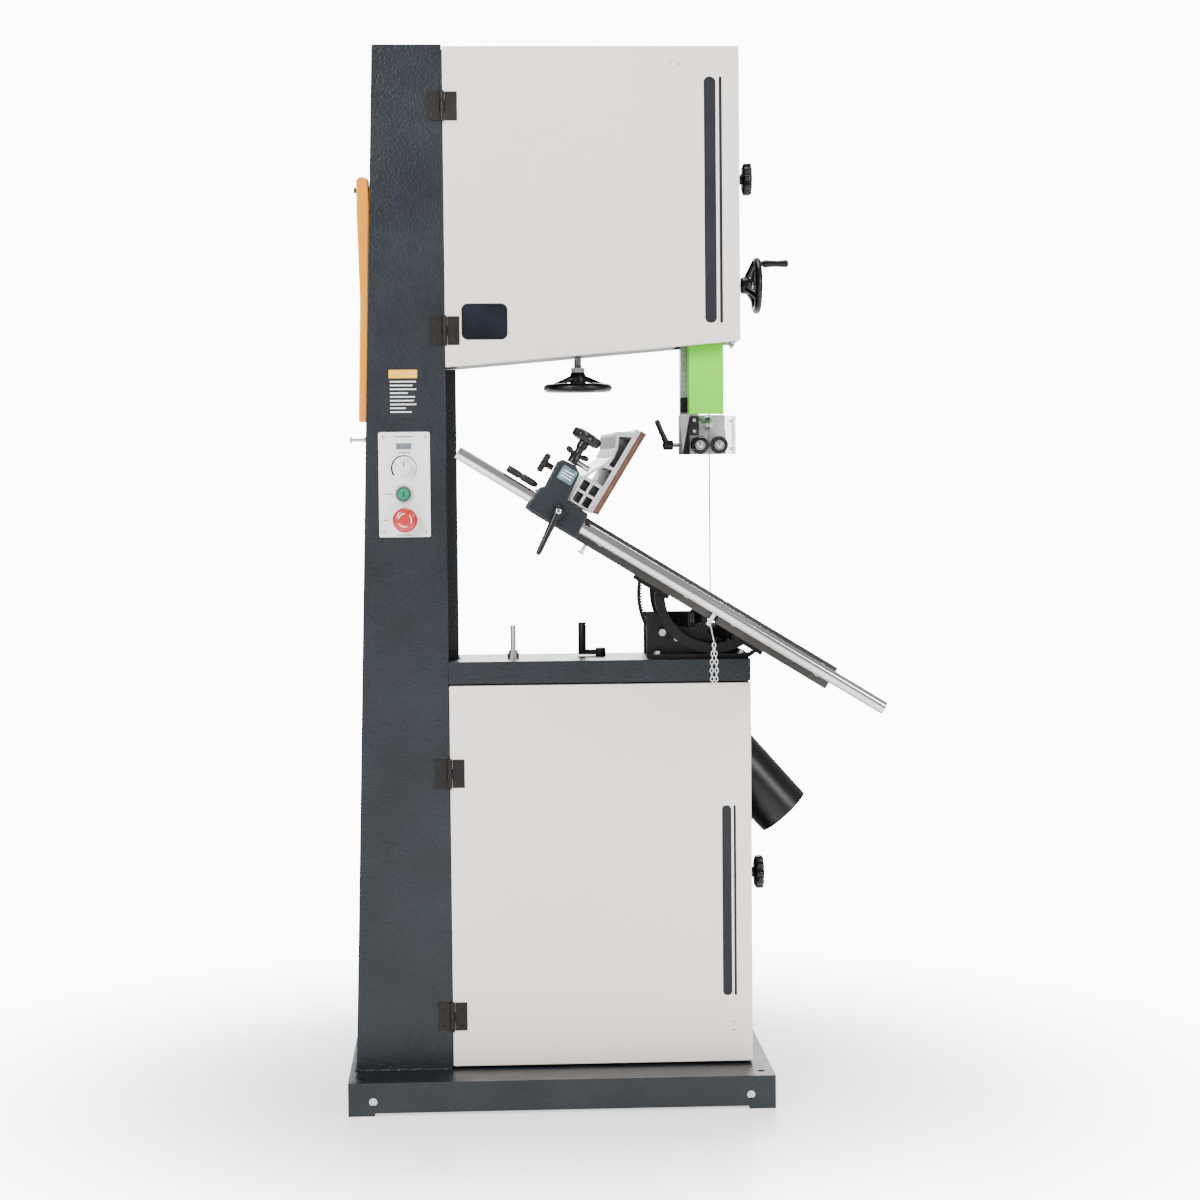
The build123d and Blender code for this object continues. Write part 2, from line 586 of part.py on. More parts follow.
# Trunnions: fixed castings on the beam, and arms under the table that swing about the blade line

PINION_C = RING_R - PINION_R
PINION_X = PIVOT_X + PINION_C * cos(radians(PINION_ANGLE))
PINION_Z = PIVOT_Z + PINION_C * sin(radians(PINION_ANGLE))

LOCK_X, LOCK_Y = 237, -71
UPRIGHT = [
    (157, 757), (262, 757), (262, 838), (252, 838), (252, 812),
    (222, 808), (196, 820), (172, 836), (157, 836),
]
with BuildPart() as trunnion_base:
    block(160, 330, -104, -61, BEAM_TOP, 765)
    panel(UPRIGHT, -62, 18)
    panel([(262, 765), (330, 765), (262, 800)], -62, 18)
    rod((PINION_X, -90, PINION_Z), (0, 1, 0), 5.06, 40, Mode.SUBTRACT)
    rod((LOCK_X, LOCK_Y, 804), (0, 0, 1), 3.94, 36)
    block(160, 262, 44, 61, BEAM_TOP, 830)
save(trunnion_base, "trunnion_base")

with BuildPart() as table_lock_knob:
    with BuildSketch(Plane.XY.offset(816)):
        with Locations((LOCK_X, LOCK_Y)):
            Circle(6.5)
            with PolarLocations(6, 5):
                Circle(3.5)
            Circle(4, mode=Mode.SUBTRACT)
    extrude(amount=20)
save(table_lock_knob, "table_lock_knob")

with BuildPart() as tilt_pinion:
    with BuildSketch(Plane(origin=(PINION_X, -46, PINION_Z), x_dir=(1, 0, 0), z_dir=(0, -1, 0))):
        Polygon(*pinion_points(PINION_ANGLE), align=None)
    extrude(amount=11)
    rod((PINION_X, -88, PINION_Z), (0, 1, 0), 5, 42)
    with BuildSketch(front(-81)):
        with Locations((PINION_X, PINION_Z)):
            RegularPolygon(6.5, 6)
    extrude(amount=11)
save(tilt_pinion, "tilt_pinion")


def ring_points():
    """The toothed inner edge of the arc, with a gap centred on the pinion, closed along the arc's outside."""
    pitch = 2 * pi / RING_TEETH
    half_span = 34
    points = []
    for tooth in range(-half_span, half_span):
        middle = radians(270) + (tooth + 0.5) * pitch
        middle += ring_shift()
        for radius, spread in (
            (RING_R + DEDENDUM, -1.75),
            (RING_R - ADDENDUM, -0.6),
            (RING_R - ADDENDUM, 0.6),
            (RING_R + DEDENDUM, 1.75),
        ):
            angle = middle + spread / RING_R
            points.append((radius * cos(angle), radius * sin(angle)))
    end, start = points[-1], points[0]
    high = atan2(end[1], end[0])
    low = atan2(start[1], start[0])
    if low > 0:
        low -= 2 * pi
    steps = 40
    if high < low:
        high += 2 * pi
    for step in range(steps + 1):
        angle = high + (low - high) * step / steps
        points.append((RING_OUT * cos(angle), RING_OUT * sin(angle)))
    return points


def ring_shift():
    """How far the ring's teeth turn so that a gap faces the pinion when the table is tilted by TILT."""
    pitch = 2 * pi / RING_TEETH
    facing = radians(PINION_ANGLE + TILT) - radians(270)
    return facing - round(facing / pitch) * pitch


ARM_PLACES = ((-84, 14), (42, 12))
with BuildPart() as table_arms:
    for back, depth in ARM_PLACES:
        with BuildSketch(table_front(back)):
            Circle(ARM_OUT)
            Circle(ARM_IN, mode=Mode.SUBTRACT)
            with Locations((0, 100 - TABLE_T)):
                Rectangle(300, 200, mode=Mode.SUBTRACT)
            for side in (-1, 1):
                with Locations((side * 94, -TABLE_T - 4)):
                    Rectangle(60, 8)
        extrude(amount=depth)
    with BuildSketch(table_front(-46)):
        Polygon(*ring_points(), align=None)
        with Locations((0, 100 - TABLE_T)):
            Rectangle(300, 200, mode=Mode.SUBTRACT)
        for side in (-1, 1):
            with Locations((side * 105, -TABLE_T - 3)):
                Rectangle(46, 6)
    extrude(amount=10)
save(table_arms, "table_arms")

with BuildPart(TABLE) as table:
    block(TABLE_LEFT, TABLE_RIGHT, TABLE_FRONT, TABLE_REAR, -TABLE_T, 0)
    block(
        TABLE_LEFT + RIM, TABLE_RIGHT - RIM, TABLE_FRONT + RIM, TABLE_REAR - RIM,
        -TABLE_T - 1, -TABLE_SKIN, Mode.SUBTRACT,
    )
    for t in (-240, -150, 150):
        block(t - 4, t + 4, TABLE_FRONT + RIM, TABLE_REAR - RIM, -26, -TABLE_SKIN)
    for y in (-200, 100):
        block(TABLE_LEFT + RIM, TABLE_RIGHT - RIM, y - 4, y + 4, -26, -TABLE_SKIN)
    for side in (-1, 1):
        t0, t1 = sorted((side * 64, side * 126))
        block(t0, t1, -98, -84, -TABLE_T, -TABLE_SKIN)
        block(t0, t1, -56, -46, -TABLE_T, -TABLE_SKIN)
        block(t0, t1, 30, 42, -TABLE_T, -TABLE_SKIN)
    block(-2.5, 2.5, TABLE_FRONT - 1, -30, -TABLE_T - 1, 1, Mode.SUBTRACT)
    with Locations((0, -30, 0)):
        Cylinder(INSERT_R, 12, mode=Mode.SUBTRACT)
        Cylinder(INSERT_R - 6, 60, mode=Mode.SUBTRACT)
save(table, "table")

with BuildPart(TABLE) as table_fittings:
    with Locations((0, -30, -3)):
        Cylinder(INSERT_R - 0.1, 6)
    block(-2, 7, -46, -12, -7, 1, Mode.SUBTRACT)
    block(-2, 2.5, -62, -30, -7, 1, Mode.SUBTRACT)
    for t in (-225, -60, 30, 190):
        rod((t, RAIL_Y + RAIL_R, RAIL_N), (0, 1, 0), 7, TABLE_FRONT - RAIL_Y - RAIL_R)
    rod((-244, TABLE_FRONT + 6, -TABLE_T - 14), (0, 0, 1), 3, 14)
    rod((-244, TABLE_FRONT + 6, -TABLE_T - 16), (0, 0, 1), 6, 3)
    rod((-6, TABLE_FRONT - 4, -44), (0, 0, 1), 4, 38)
    hook = TABLE.to_local_coords(Vector(CHAIN_X, CHAIN_Y, CHAIN_TOP))
    pin_foot = Vector(-6, TABLE_FRONT - 8, -43)
    eye = hook + Vector(0, 5, 0)
    rod(pin_foot, eye - pin_foot, 1, (eye - pin_foot).length)
    rod(hook - Vector(0, 4, 0), (0, 1, 0), 1.2, 9)
save(table_fittings, "table_fittings")

with BuildPart(TABLE) as fence_rail:
    rod((RAIL_LEFT, RAIL_Y, RAIL_N), (1, 0, 0), RAIL_R, RAIL_RIGHT - RAIL_LEFT)
    chamfer(fence_rail.edges().filter_by(GeomType.CIRCLE), 1)
save(fence_rail, "fence_rail")

# Chain of the taper pin: plain links hanging in two strands from a ring at the table's front edge

LINK_PITCH, LINK_WIRE = 7, 0.7


def link(x, z, turned):
    """One round link, edge-on or face-on."""
    with Locations(Plane(origin=(x, CHAIN_Y, z), z_dir=(1, 0, 0) if turned else (0, 1, 0))):
        Torus(3.6, LINK_WIRE)


with BuildPart() as pin_chain:
    for strand, count in ((-4, 10), (4, 12)):
        for index in range(count):
            link(CHAIN_X + strand, CHAIN_FOOT + LINK_PITCH * index, index % 2)
    link(CHAIN_X, CHAIN_TOP, False)
save(pin_chain, "pin_chain")

# Fence: a carrier on the rail, with the extrusion hung over the table's left end

with BuildPart() as fence_carrier:
    with BuildSketch(table_front(-324)):
        Polygon(
            (-361, -37.5), (-265.5, -37.5), (-268, 6), (-308, 7), (-314, 54), (-325, 62), (-349, 60),
            (-354, 52), (-351, 8), (-357, 3), align=None,
        )
    extrude(amount=48)
    rail_line = Plane(origin=TABLE.from_local_coords((-400, RAIL_Y, RAIL_N)), z_dir=TABLE.x_dir)
    with Locations(rail_line):
        Cylinder(RAIL_R + 0.07, 200, align=(Align.CENTER, Align.CENTER, Align.MIN), mode=Mode.SUBTRACT)
    with BuildSketch(table_front(-323)):
        with Locations((-313, RAIL_N)):
            Rectangle(110, 17)
    extrude(amount=22, mode=Mode.SUBTRACT)
save(fence_carrier, "fence_carrier")

FENCE_OUTER = [
    (-264, 9), (-264, 163), (-272, 163), (-273, 156), (-297, 143), (-296, 137), (-286, 119), (-284, 102),
    (-290, 86), (-306, 55), (-306, 9),
]
FENCE_CHAMBERS = (
    [(-271, 148), (-271, 90), (-281, 90), (-280, 104), (-282, 120), (-290, 138)],
    [(-271, 86), (-271, 56), (-301, 56), (-288, 82)],
)
with BuildPart() as fence_extrusion:
    with BuildSketch(table_front(150)):
        Polygon(*FENCE_OUTER, align=None)
        for chamber in FENCE_CHAMBERS:
            Polygon(*chamber, align=None, mode=Mode.SUBTRACT)
        for t in (-280, -297):
            for n in (20.5, 42):
                with Locations((t, n)):
                    Rectangle(13, 17, mode=Mode.SUBTRACT)
    extrude(amount=515)
save(fence_extrusion, "fence_extrusion")

with BuildPart(TABLE) as fence_facing:
    block(-264, FENCE_FACE, -365, 150, 12, 164)
save(fence_facing, "fence_facing")

with BuildPart(TABLE) as fence_fittings:
    rod((-418, -348, 2.6), (1, 0, 0), 6, 56)
    rod((-330, -348, 68), (1, 0, 0), 5, 26)
    rod((-333, -348, 62.2), (0, 0, 1), 9, 28)
    for side in (-1, 1):
        rod((-333, -348, 78), (side, 0, 0.25), 5, 22)
save(fence_fittings, "fence_fittings")

with BuildPart(TABLE) as fence_lever:
    rod((-313, -386, -15), (0, 1, 0), 9, 13.5)
    for place, radius in (((-313, -382, -18), 6), ((-306, -392, -92), 4.5)):
        with BuildSketch(Plane(origin=TABLE.from_local_coords(place), x_dir=(0, 1, 0), z_dir=-TABLE.z_dir)):
            Circle(radius)
    loft()
save(fence_lever, "fence_lever")

with BuildPart(TABLE) as fence_top_knob:
    rod((-333, -348, 90.4), (0, 0, 1), 9, 12)
    rod((-333, -348, 101), (0, 0, 1), 19, 18)
    for lobe in range(5):
        angle = radians(72 * lobe)
        rod((-333 + 17 * cos(angle), -348 + 17 * sin(angle), 101), (0, 0, 1), 9, 18)
save(fence_top_knob, "fence_top_knob")

with BuildPart(TABLE) as fence_side_knob:
    rod((-377, -348, 40), (1, 0, 0), 16.5, 10)
    rod((-368, -348, 40), (1, 0, 0), 5, 13.6)
save(fence_side_knob, "fence_side_knob")

# Fittings on the frame

with BuildPart() as frame_fittings:
    rod((-73, -40, BEAM_TOP), (0, 0, 1), 4.5, 57)
    rod((-73, -40, BEAM_TOP), (0, 0, 1), 10, 8)
    rod((-308.7, -20, 1566), (-1, 0, 0), 5, 30)
    rod((-321, -20, 1137), (-1, 0, 0), 3, 30)
    rod((-348, -20, 1137), (-1, 0, 0), 6, 3)
    rod((-240, COLUMN_BACK, 300), (0, 1, 0), 12, 22)
save(frame_fittings, "frame_fittings")

with BuildPart() as belt_crank:
    rod((80, -8, BEAM_TOP + 0.1), (0, 0, 1), 9, 14)
    block(46, 82, -14, -2, 760, 768)
    rod((48, -8, 760), (0, 0, 1), 7, 56)
save(belt_crank, "belt_crank")

PORT_DIRECTION = Vector(0.668, 0, -0.744)
PORT_END = Vector(398, -20, 480)
PORT_R, PORT_WALL = 49, 3
SEAT_L, PORT_DRAFT = 30, 1.2
with BuildPart() as dust_port:
    port_plane = Plane(origin=PORT_END, x_dir=(0, 1, 0), z_dir=-PORT_DIRECTION)
    with BuildSketch(port_plane):
        Circle(PORT_R)
    extrude(amount=SEAT_L)
    with Locations(port_plane.offset(SEAT_L)):
        Cone(PORT_R, PORT_R + PORT_DRAFT, 160, align=(Align.CENTER, Align.CENTER, Align.MIN))
    block(LOWER_RIGHT, LOWER_RIGHT + 4, -80, 40, 468, 640)
    with BuildSketch(port_plane.offset(-5)):
        Circle(PORT_R - PORT_WALL)
    extrude(amount=240, mode=Mode.SUBTRACT)
    block(100, LOWER_RIGHT, -200, 200, 300, 900, Mode.SUBTRACT)
save(dust_port, "dust_port")

# Controls

PLATE_X0, PLATE_X1, PLATE_Z0, PLATE_Z1, PLATE_T = -299, -212, 971, 1149, 3
PLATE_FRONT = FRONT - PLATE_T
START = (-257, 1044)
STOP = (-255, 1000)
SPEED = (-256, 1088)
with BuildPart() as control_panel:
    block(PLATE_X0, PLATE_X1, PLATE_FRONT, FRONT, PLATE_Z0, PLATE_Z1)
    block(-270, -242, PLATE_FRONT - 2.5, PLATE_FRONT, 1119, 1131)
    spin_disc(*START, PLATE_FRONT - 8, PLATE_FRONT, 15, 10.4)
    spin_disc(*STOP, PLATE_FRONT - 11, PLATE_FRONT, 19, 13)
    for x in (PLATE_X0 + 8, PLATE_X1 - 8):
        for z in (PLATE_Z0 + 8, PLATE_Z1 - 8):
            rod((x, PLATE_FRONT - 1.5, z), (0, 1, 0), 3, 1.5)
    block(-282, -230, FRONT - 0.8, FRONT, 1172, 1257)
save(control_panel, "control_panel")

with BuildPart() as speed_knob:
    spin_disc(*SPEED, PLATE_FRONT - 3, PLATE_FRONT - 0.2, 17, 0)
    spin_disc(*SPEED, PLATE_FRONT - 20, PLATE_FRONT - 3, 12.5, 0)
save(speed_knob, "speed_knob")

with BuildPart() as start_button:
    spin_disc(*START, PLATE_FRONT - 10, PLATE_FRONT - 4, 10, 0)
save(start_button, "start_button")

with BuildPart() as stop_button:
    spin_disc(*STOP, PLATE_FRONT - 28, PLATE_FRONT - 16, 21, 0)
    spin_disc(*STOP, PLATE_FRONT - 16, PLATE_FRONT - 6, 12.5, 0)
    fillet(stop_button.faces().sort_by(Axis.Y)[0].edges(), 6)
save(stop_button, "stop_button")

with BuildPart() as push_stick:
    with BuildSketch(front(0)):
        Polygon(
            (-334, 1583), (-326, 1588), (-313, 1584), (-312, 1540), (-316, 1375), (-321, 1168), (-335, 1168),
            (-330, 1375), (-334, 1530), align=None,
        )
    extrude(amount=40)
    rod((-305, -20, 1566), (-1, 0, 0), 5.6, 50, Mode.SUBTRACT)
save(push_stick, "push_stick")
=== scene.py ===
"""The look of an upright band saw: materials for its CAD nodes, and meshes for its knobs, wheels and trim."""

import json
import math

import bmesh
import bpy
from mathutils import Matrix, Vector


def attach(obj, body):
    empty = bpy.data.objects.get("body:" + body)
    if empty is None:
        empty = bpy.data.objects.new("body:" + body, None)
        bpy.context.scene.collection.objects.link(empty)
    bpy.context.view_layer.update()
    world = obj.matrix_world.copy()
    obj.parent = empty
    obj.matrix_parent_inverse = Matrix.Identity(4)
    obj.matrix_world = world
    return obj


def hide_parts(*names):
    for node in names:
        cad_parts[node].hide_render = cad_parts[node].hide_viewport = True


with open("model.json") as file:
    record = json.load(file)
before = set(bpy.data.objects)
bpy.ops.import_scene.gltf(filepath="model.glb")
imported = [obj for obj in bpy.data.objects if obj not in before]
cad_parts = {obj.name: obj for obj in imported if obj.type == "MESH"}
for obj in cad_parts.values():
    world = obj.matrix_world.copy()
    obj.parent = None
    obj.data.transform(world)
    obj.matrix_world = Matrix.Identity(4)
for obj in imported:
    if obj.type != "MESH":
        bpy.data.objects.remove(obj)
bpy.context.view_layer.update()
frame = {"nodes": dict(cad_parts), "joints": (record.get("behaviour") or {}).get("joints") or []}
NODES = frame["nodes"]
JOINTS = {j["name"]: j for j in frame["joints"]}
MM = 0.001
SEAM = 0.00002  # metres: CAD vertices nearer than this are one


# Camera, floor and light

CAMERA_AT = (-0.1443, -4.5894, 1.0921)
YAW, PITCH, ROLL = (math.radians(a) for a in (2.803, -2.965, -0.514))
LENS, SENSOR = 78.83, 36.0


def add_camera():
    ahead = Vector((math.sin(YAW) * math.cos(PITCH), math.cos(YAW) * math.cos(PITCH), math.sin(PITCH)))
    level = Vector((math.cos(YAW), -math.sin(YAW), 0))
    upright = level.cross(ahead)
    right = level * math.cos(ROLL) + upright * math.sin(ROLL)
    up = upright * math.cos(ROLL) - level * math.sin(ROLL)
    camera = bpy.data.objects.new("camera", bpy.data.cameras.new("camera"))
    bpy.context.scene.collection.objects.link(camera)
    camera.matrix_world = Matrix.Translation(CAMERA_AT) @ Matrix((right, up, -ahead)).transposed().to_4x4()
    camera.data.lens = LENS
    camera.data.sensor_width = SENSOR
    camera.data.clip_end = 60
    bpy.context.scene.camera = camera


def area_light(name, place, target, size, power, colour=(1, 1, 1)):
    light = bpy.data.lights.new(name, "AREA")
    light.shape = "RECTANGLE"
    light.size, light.size_y = size
    light.energy = power
    light.color = colour
    lamp = bpy.data.objects.new(name, light)
    bpy.context.scene.collection.objects.link(lamp)
    lamp.location = place
    lamp.rotation_euler = (Vector(target) - Vector(place)).to_track_quat("-Z", "Y").to_euler()


def white_for_camera(tree, shader, factor=None):
    """Mixes a plain white glow over a shader, for camera rays only, so that the backdrop is clean white."""
    ray = tree.nodes.new("ShaderNodeLightPath").outputs["Is Camera Ray"]
    if factor:
        both = tree.nodes.new("ShaderNodeMath")
        both.operation = "MULTIPLY"
        tree.links.new(ray, both.inputs[0])
        tree.links.new(factor, both.inputs[1])
        ray = both.outputs["Value"]
    glow = tree.nodes.new("ShaderNodeEmission")
    glow.inputs["Strength"].default_value = 12
    mix = tree.nodes.new("ShaderNodeMixShader")
    tree.links.new(ray, mix.inputs["Fac"])
    tree.links.new(shader, mix.inputs[1])
    tree.links.new(glow.outputs["Emission"], mix.inputs[2])
    return mix.outputs["Shader"]


def floor_material():
    """Pale glossy floor round the object, fading to white away from it."""
    material = bpy.data.materials.new("floor")
    material.use_nodes = True
    tree = material.node_tree
    shader = tree.nodes["Principled BSDF"]
    shader.inputs["Base Color"].default_value = (0.94, 0.94, 0.94, 1)
    shader.inputs["Roughness"].default_value = 0.2
    shader.inputs["Emission Color"].default_value = (1, 1, 1, 1)
    shader.inputs["Emission Strength"].default_value = 1.1
    place = tree.nodes.new("ShaderNodeTexCoord")
    distance = tree.nodes.new("ShaderNodeVectorMath")
    distance.operation = "LENGTH"
    fade = tree.nodes.new("ShaderNodeMapRange")
    fade.interpolation_type = "SMOOTHSTEP"
    fade.inputs["From Min"].default_value, fade.inputs["From Max"].default_value = 0.4, 1.5
    tree.links.new(place.outputs["Object"], distance.inputs[0])
    tree.links.new(distance.outputs["Value"], fade.inputs["Value"])
    output = tree.nodes["Material Output"]
    tree.links.new(white_for_camera(tree, shader.outputs["BSDF"], fade.outputs["Result"]),
                   output.inputs["Surface"])
    return material


def add_studio():
    reach = 14
    floor_mesh = bpy.data.meshes.new("floor")
    floor_mesh.from_pydata([(-reach, -reach, 0), (reach, -reach, 0), (reach, reach, 0), (-reach, reach, 0)],
                           [], [(0, 1, 2, 3)])
    floor_mesh.materials.append(floor_material())
    floor = bpy.data.objects.new("floor", floor_mesh)
    bpy.context.scene.collection.objects.link(floor)
    world = bpy.data.worlds.new("studio")
    world.use_nodes = True
    tree = world.node_tree
    sky = tree.nodes["Background"]
    sky.inputs["Color"].default_value = (1, 1, 1, 1)
    sky.inputs["Strength"].default_value = 0.5
    tree.links.new(white_for_camera(tree, sky.outputs["Background"]),
                   tree.nodes["World Output"].inputs["Surface"])
    bpy.context.scene.world = world
    area_light("key", (-2.6, -4.2, 3.2), (0, 0, 1.0), (1.6, 2.4), 330)
    area_light("fill", (3.4, -3.4, 2.4), (0.1, 0, 0.9), (1.4, 2.4), 150)
    area_light("top", (0.3, 0.2, 4.2), (0, 0, 0.8), (1.6, 1.6), 110)
    area_light("back", (0.5, 4.0, 2.6), (0, 0, 1.0), (2.0, 2.6), 170)


# Materials


def finish(name, dark, light, rough=(0.4, 0.5), metal=0.0, colour_scale=8, bump_scale=300, bump=0.1,
           grain=None, coat=0.0, transmission=0.0, alpha=1.0, voronoi=False, bump_distance=0.0006, shine=0.5):
    """A principled material with noise in its colour and roughness, and a fine bump. grain stretches them."""
    material = bpy.data.materials.new(name)
    material.use_nodes = True
    tree = material.node_tree
    shader = tree.nodes["Principled BSDF"]
    shader.inputs["Metallic"].default_value = metal
    shader.inputs["Coat Weight"].default_value = coat
    shader.inputs["Transmission Weight"].default_value = transmission
    shader.inputs["Alpha"].default_value = alpha
    shader.inputs["Specular IOR Level"].default_value = shine
    place = tree.nodes.new("ShaderNodeTexCoord")
    stretch = tree.nodes.new("ShaderNodeMapping")
    stretch.inputs["Scale"].default_value = grain or (1, 1, 1)
    tree.links.new(place.outputs["Object"], stretch.inputs["Vector"])

    def noise(scale, detail):
        node = tree.nodes.new("ShaderNodeTexNoise")
        node.inputs["Scale"].default_value = scale
        node.inputs["Detail"].default_value = detail
        tree.links.new(stretch.outputs["Vector"], node.inputs["Vector"])
        return node

    broad = noise(colour_scale, 4)
    ramp = tree.nodes.new("ShaderNodeValToRGB")
    ramp.color_ramp.elements[0].position = 0.35
    ramp.color_ramp.elements[0].color = (*dark, 1)
    ramp.color_ramp.elements[1].position = 0.68
    ramp.color_ramp.elements[1].color = (*light, 1)
    tree.links.new(broad.outputs["Fac"], ramp.inputs["Fac"])
    tree.links.new(ramp.outputs["Color"], shader.inputs["Base Color"])
    if voronoi:
        fine = tree.nodes.new("ShaderNodeTexVoronoi")
        fine.feature = "SMOOTH_F1"
        fine.inputs["Scale"].default_value = bump_scale
        tree.links.new(stretch.outputs["Vector"], fine.inputs["Vector"])
        height = fine.outputs["Distance"]
    else:
        height = noise(bump_scale, 3).outputs["Fac"]
    bumps = tree.nodes.new("ShaderNodeBump")
    bumps.inputs["Strength"].default_value = bump
    bumps.inputs["Distance"].default_value = bump_distance
    tree.links.new(height, bumps.inputs["Height"])
    tree.links.new(bumps.outputs["Normal"], shader.inputs["Normal"])
    spread = tree.nodes.new("ShaderNodeMapRange")
    spread.inputs["To Min"].default_value, spread.inputs["To Max"].default_value = rough
    tree.links.new(noise(colour_scale * 3, 5).outputs["Fac"], spread.inputs["Value"])
    tree.links.new(spread.outputs["Result"], shader.inputs["Roughness"])
    return material


MATERIALS = {
    "slate": finish("slate_hammered", (0.0075, 0.0105, 0.014), (0.012, 0.0165, 0.021), (0.25, 0.42),
                    bump_scale=330, bump=0.7, voronoi=True, bump_distance=0.0008, shine=0.3),
    "cream": finish("cream_enamel", (0.80, 0.72, 0.655), (0.84, 0.765, 0.70), (0.25, 0.33), colour_scale=2,
                    bump_scale=120, bump=0.05, coat=0.1),
    "green": finish("green_powder", (0.13, 0.62, 0.02), (0.16, 0.68, 0.03), (0.4, 0.5), bump_scale=500,
                    bump=0.08, shine=0.2),
    "black_paint": finish("black_paint", (0.003, 0.003, 0.0033), (0.007, 0.007, 0.0075), (0.3, 0.5),
                          bump_scale=350, bump=0.25, shine=0.25),
    "cast_black": finish("cast_black", (0.0025, 0.0025, 0.0028), (0.007, 0.0068, 0.0068), (0.4, 0.65),
                         bump_scale=220, bump=0.6, shine=0.25),
    "black_plastic": finish("black_plastic", (0.0025, 0.0025, 0.003), (0.005, 0.005, 0.0055), (0.25, 0.4),
                            bump_scale=700, bump=0.12, shine=0.3),
    "hinge": finish("hinge_bronze", (0.006, 0.0045, 0.004), (0.014, 0.010, 0.0085), (0.35, 0.55),
                    bump_scale=300, bump=0.2, metal=0.2, shine=0.3),
    "steel": finish("machined_steel", (0.42, 0.42, 0.43), (0.60, 0.60, 0.61), (0.22, 0.4), metal=1.0,
                    grain=(1, 1, 14), bump_scale=60, bump=0.05),
    "zinc": finish("zinc_plate", (0.50, 0.49, 0.46), (0.68, 0.67, 0.64), (0.25, 0.45), metal=1.0,
                   bump_scale=400, bump=0.1),
    "blade": finish("blade_steel", (0.40, 0.40, 0.41), (0.62, 0.62, 0.62), (0.25, 0.38), metal=1.0,
                    grain=(1, 1, 0.1), bump_scale=80, bump=0.05),
    "chrome": finish("polished_chrome", (0.55, 0.55, 0.56), (0.68, 0.68, 0.69), (0.06, 0.14), metal=1.0,
                     bump_scale=20, bump=0.01),
    "iron_top": finish("ground_iron", (0.20, 0.20, 0.20), (0.33, 0.33, 0.33), (0.25, 0.4), metal=0.9,
                       grain=(3, 40, 3), colour_scale=5, bump_scale=40, bump=0.06),
    "iron_cast": finish("cast_iron", (0.018, 0.016, 0.0145), (0.04, 0.036, 0.033), (0.45, 0.65), metal=0.2,
                        bump_scale=180, bump=0.5),
    "wheel_iron": finish("wheel_iron", (0.12, 0.12, 0.125), (0.2, 0.2, 0.205), (0.4, 0.6), metal=0.6,
                         bump_scale=180, bump=0.3),
    "aluminium": finish("anodised_aluminium", (0.60, 0.61, 0.62), (0.72, 0.73, 0.74), (0.28, 0.38),
                        metal=0.85, grain=(10, 1, 10), bump_scale=50, bump=0.05),
    "facing": finish("brown_laminate", (0.06, 0.021, 0.010), (0.11, 0.042, 0.021), (0.35, 0.5),
                     grain=(6, 1, 6), colour_scale=20, bump_scale=120, bump=0.12),
    "rubber": finish("rubber", (0.004, 0.004, 0.004), (0.009, 0.009, 0.009), (0.5, 0.7), bump_scale=500,
                     bump=0.3, shine=0.25),
    "clear": finish("clear_acrylic", (0.93, 0.95, 0.96), (0.97, 0.98, 0.99), (0.03, 0.08), bump_scale=40,
                    bump=0.01, transmission=1.0, alpha=0.45),
    "pane": finish("tinted_pane", (0.003, 0.004, 0.006), (0.012, 0.018, 0.03), (0.05, 0.1), bump_scale=30,
                   bump=0.01, shine=0.4),
    "orange": finish("orange_moulding", (0.86, 0.30, 0.003), (0.92, 0.36, 0.004), (0.35, 0.45),
                     bump_scale=500, bump=0.12, shine=0.25),
    "panel": finish("panel_enamel", (0.78, 0.78, 0.78), (0.84, 0.84, 0.84), (0.25, 0.32), bump_scale=300,
                    bump=0.03),
    "white": finish("white_plastic", (0.74, 0.74, 0.74), (0.80, 0.80, 0.80), (0.2, 0.28), bump_scale=500,
                    bump=0.03, coat=0.2),
    "green_button": finish("green_button", (0.002, 0.20, 0.10), (0.004, 0.26, 0.13), (0.2, 0.3),
                           bump_scale=400, bump=0.03, coat=0.3),
    "red": finish("red_button", (0.42, 0.012, 0.012), (0.50, 0.018, 0.016), (0.25, 0.35), bump_scale=400,
                  bump=0.03, coat=0.3),
    "charcoal": finish("charcoal_decal", (0.009, 0.011, 0.014), (0.014, 0.016, 0.02), (0.4, 0.5),
                       bump_scale=500, bump=0.02, shine=0.25),
    "amber": finish("amber_print", (0.80, 0.42, 0.03), (0.85, 0.47, 0.05), (0.4, 0.5), bump_scale=500,
                    bump=0.02),
    "badge": finish("badge_blue_grey", (0.05, 0.10, 0.13), (0.14, 0.22, 0.27), (0.3, 0.45), colour_scale=90,
                    bump_scale=400, bump=0.1),
    "lcd": finish("lcd_grey", (0.10, 0.11, 0.15), (0.17, 0.18, 0.24), (0.2, 0.3), colour_scale=200,
                  bump_scale=400, bump=0.02),
}

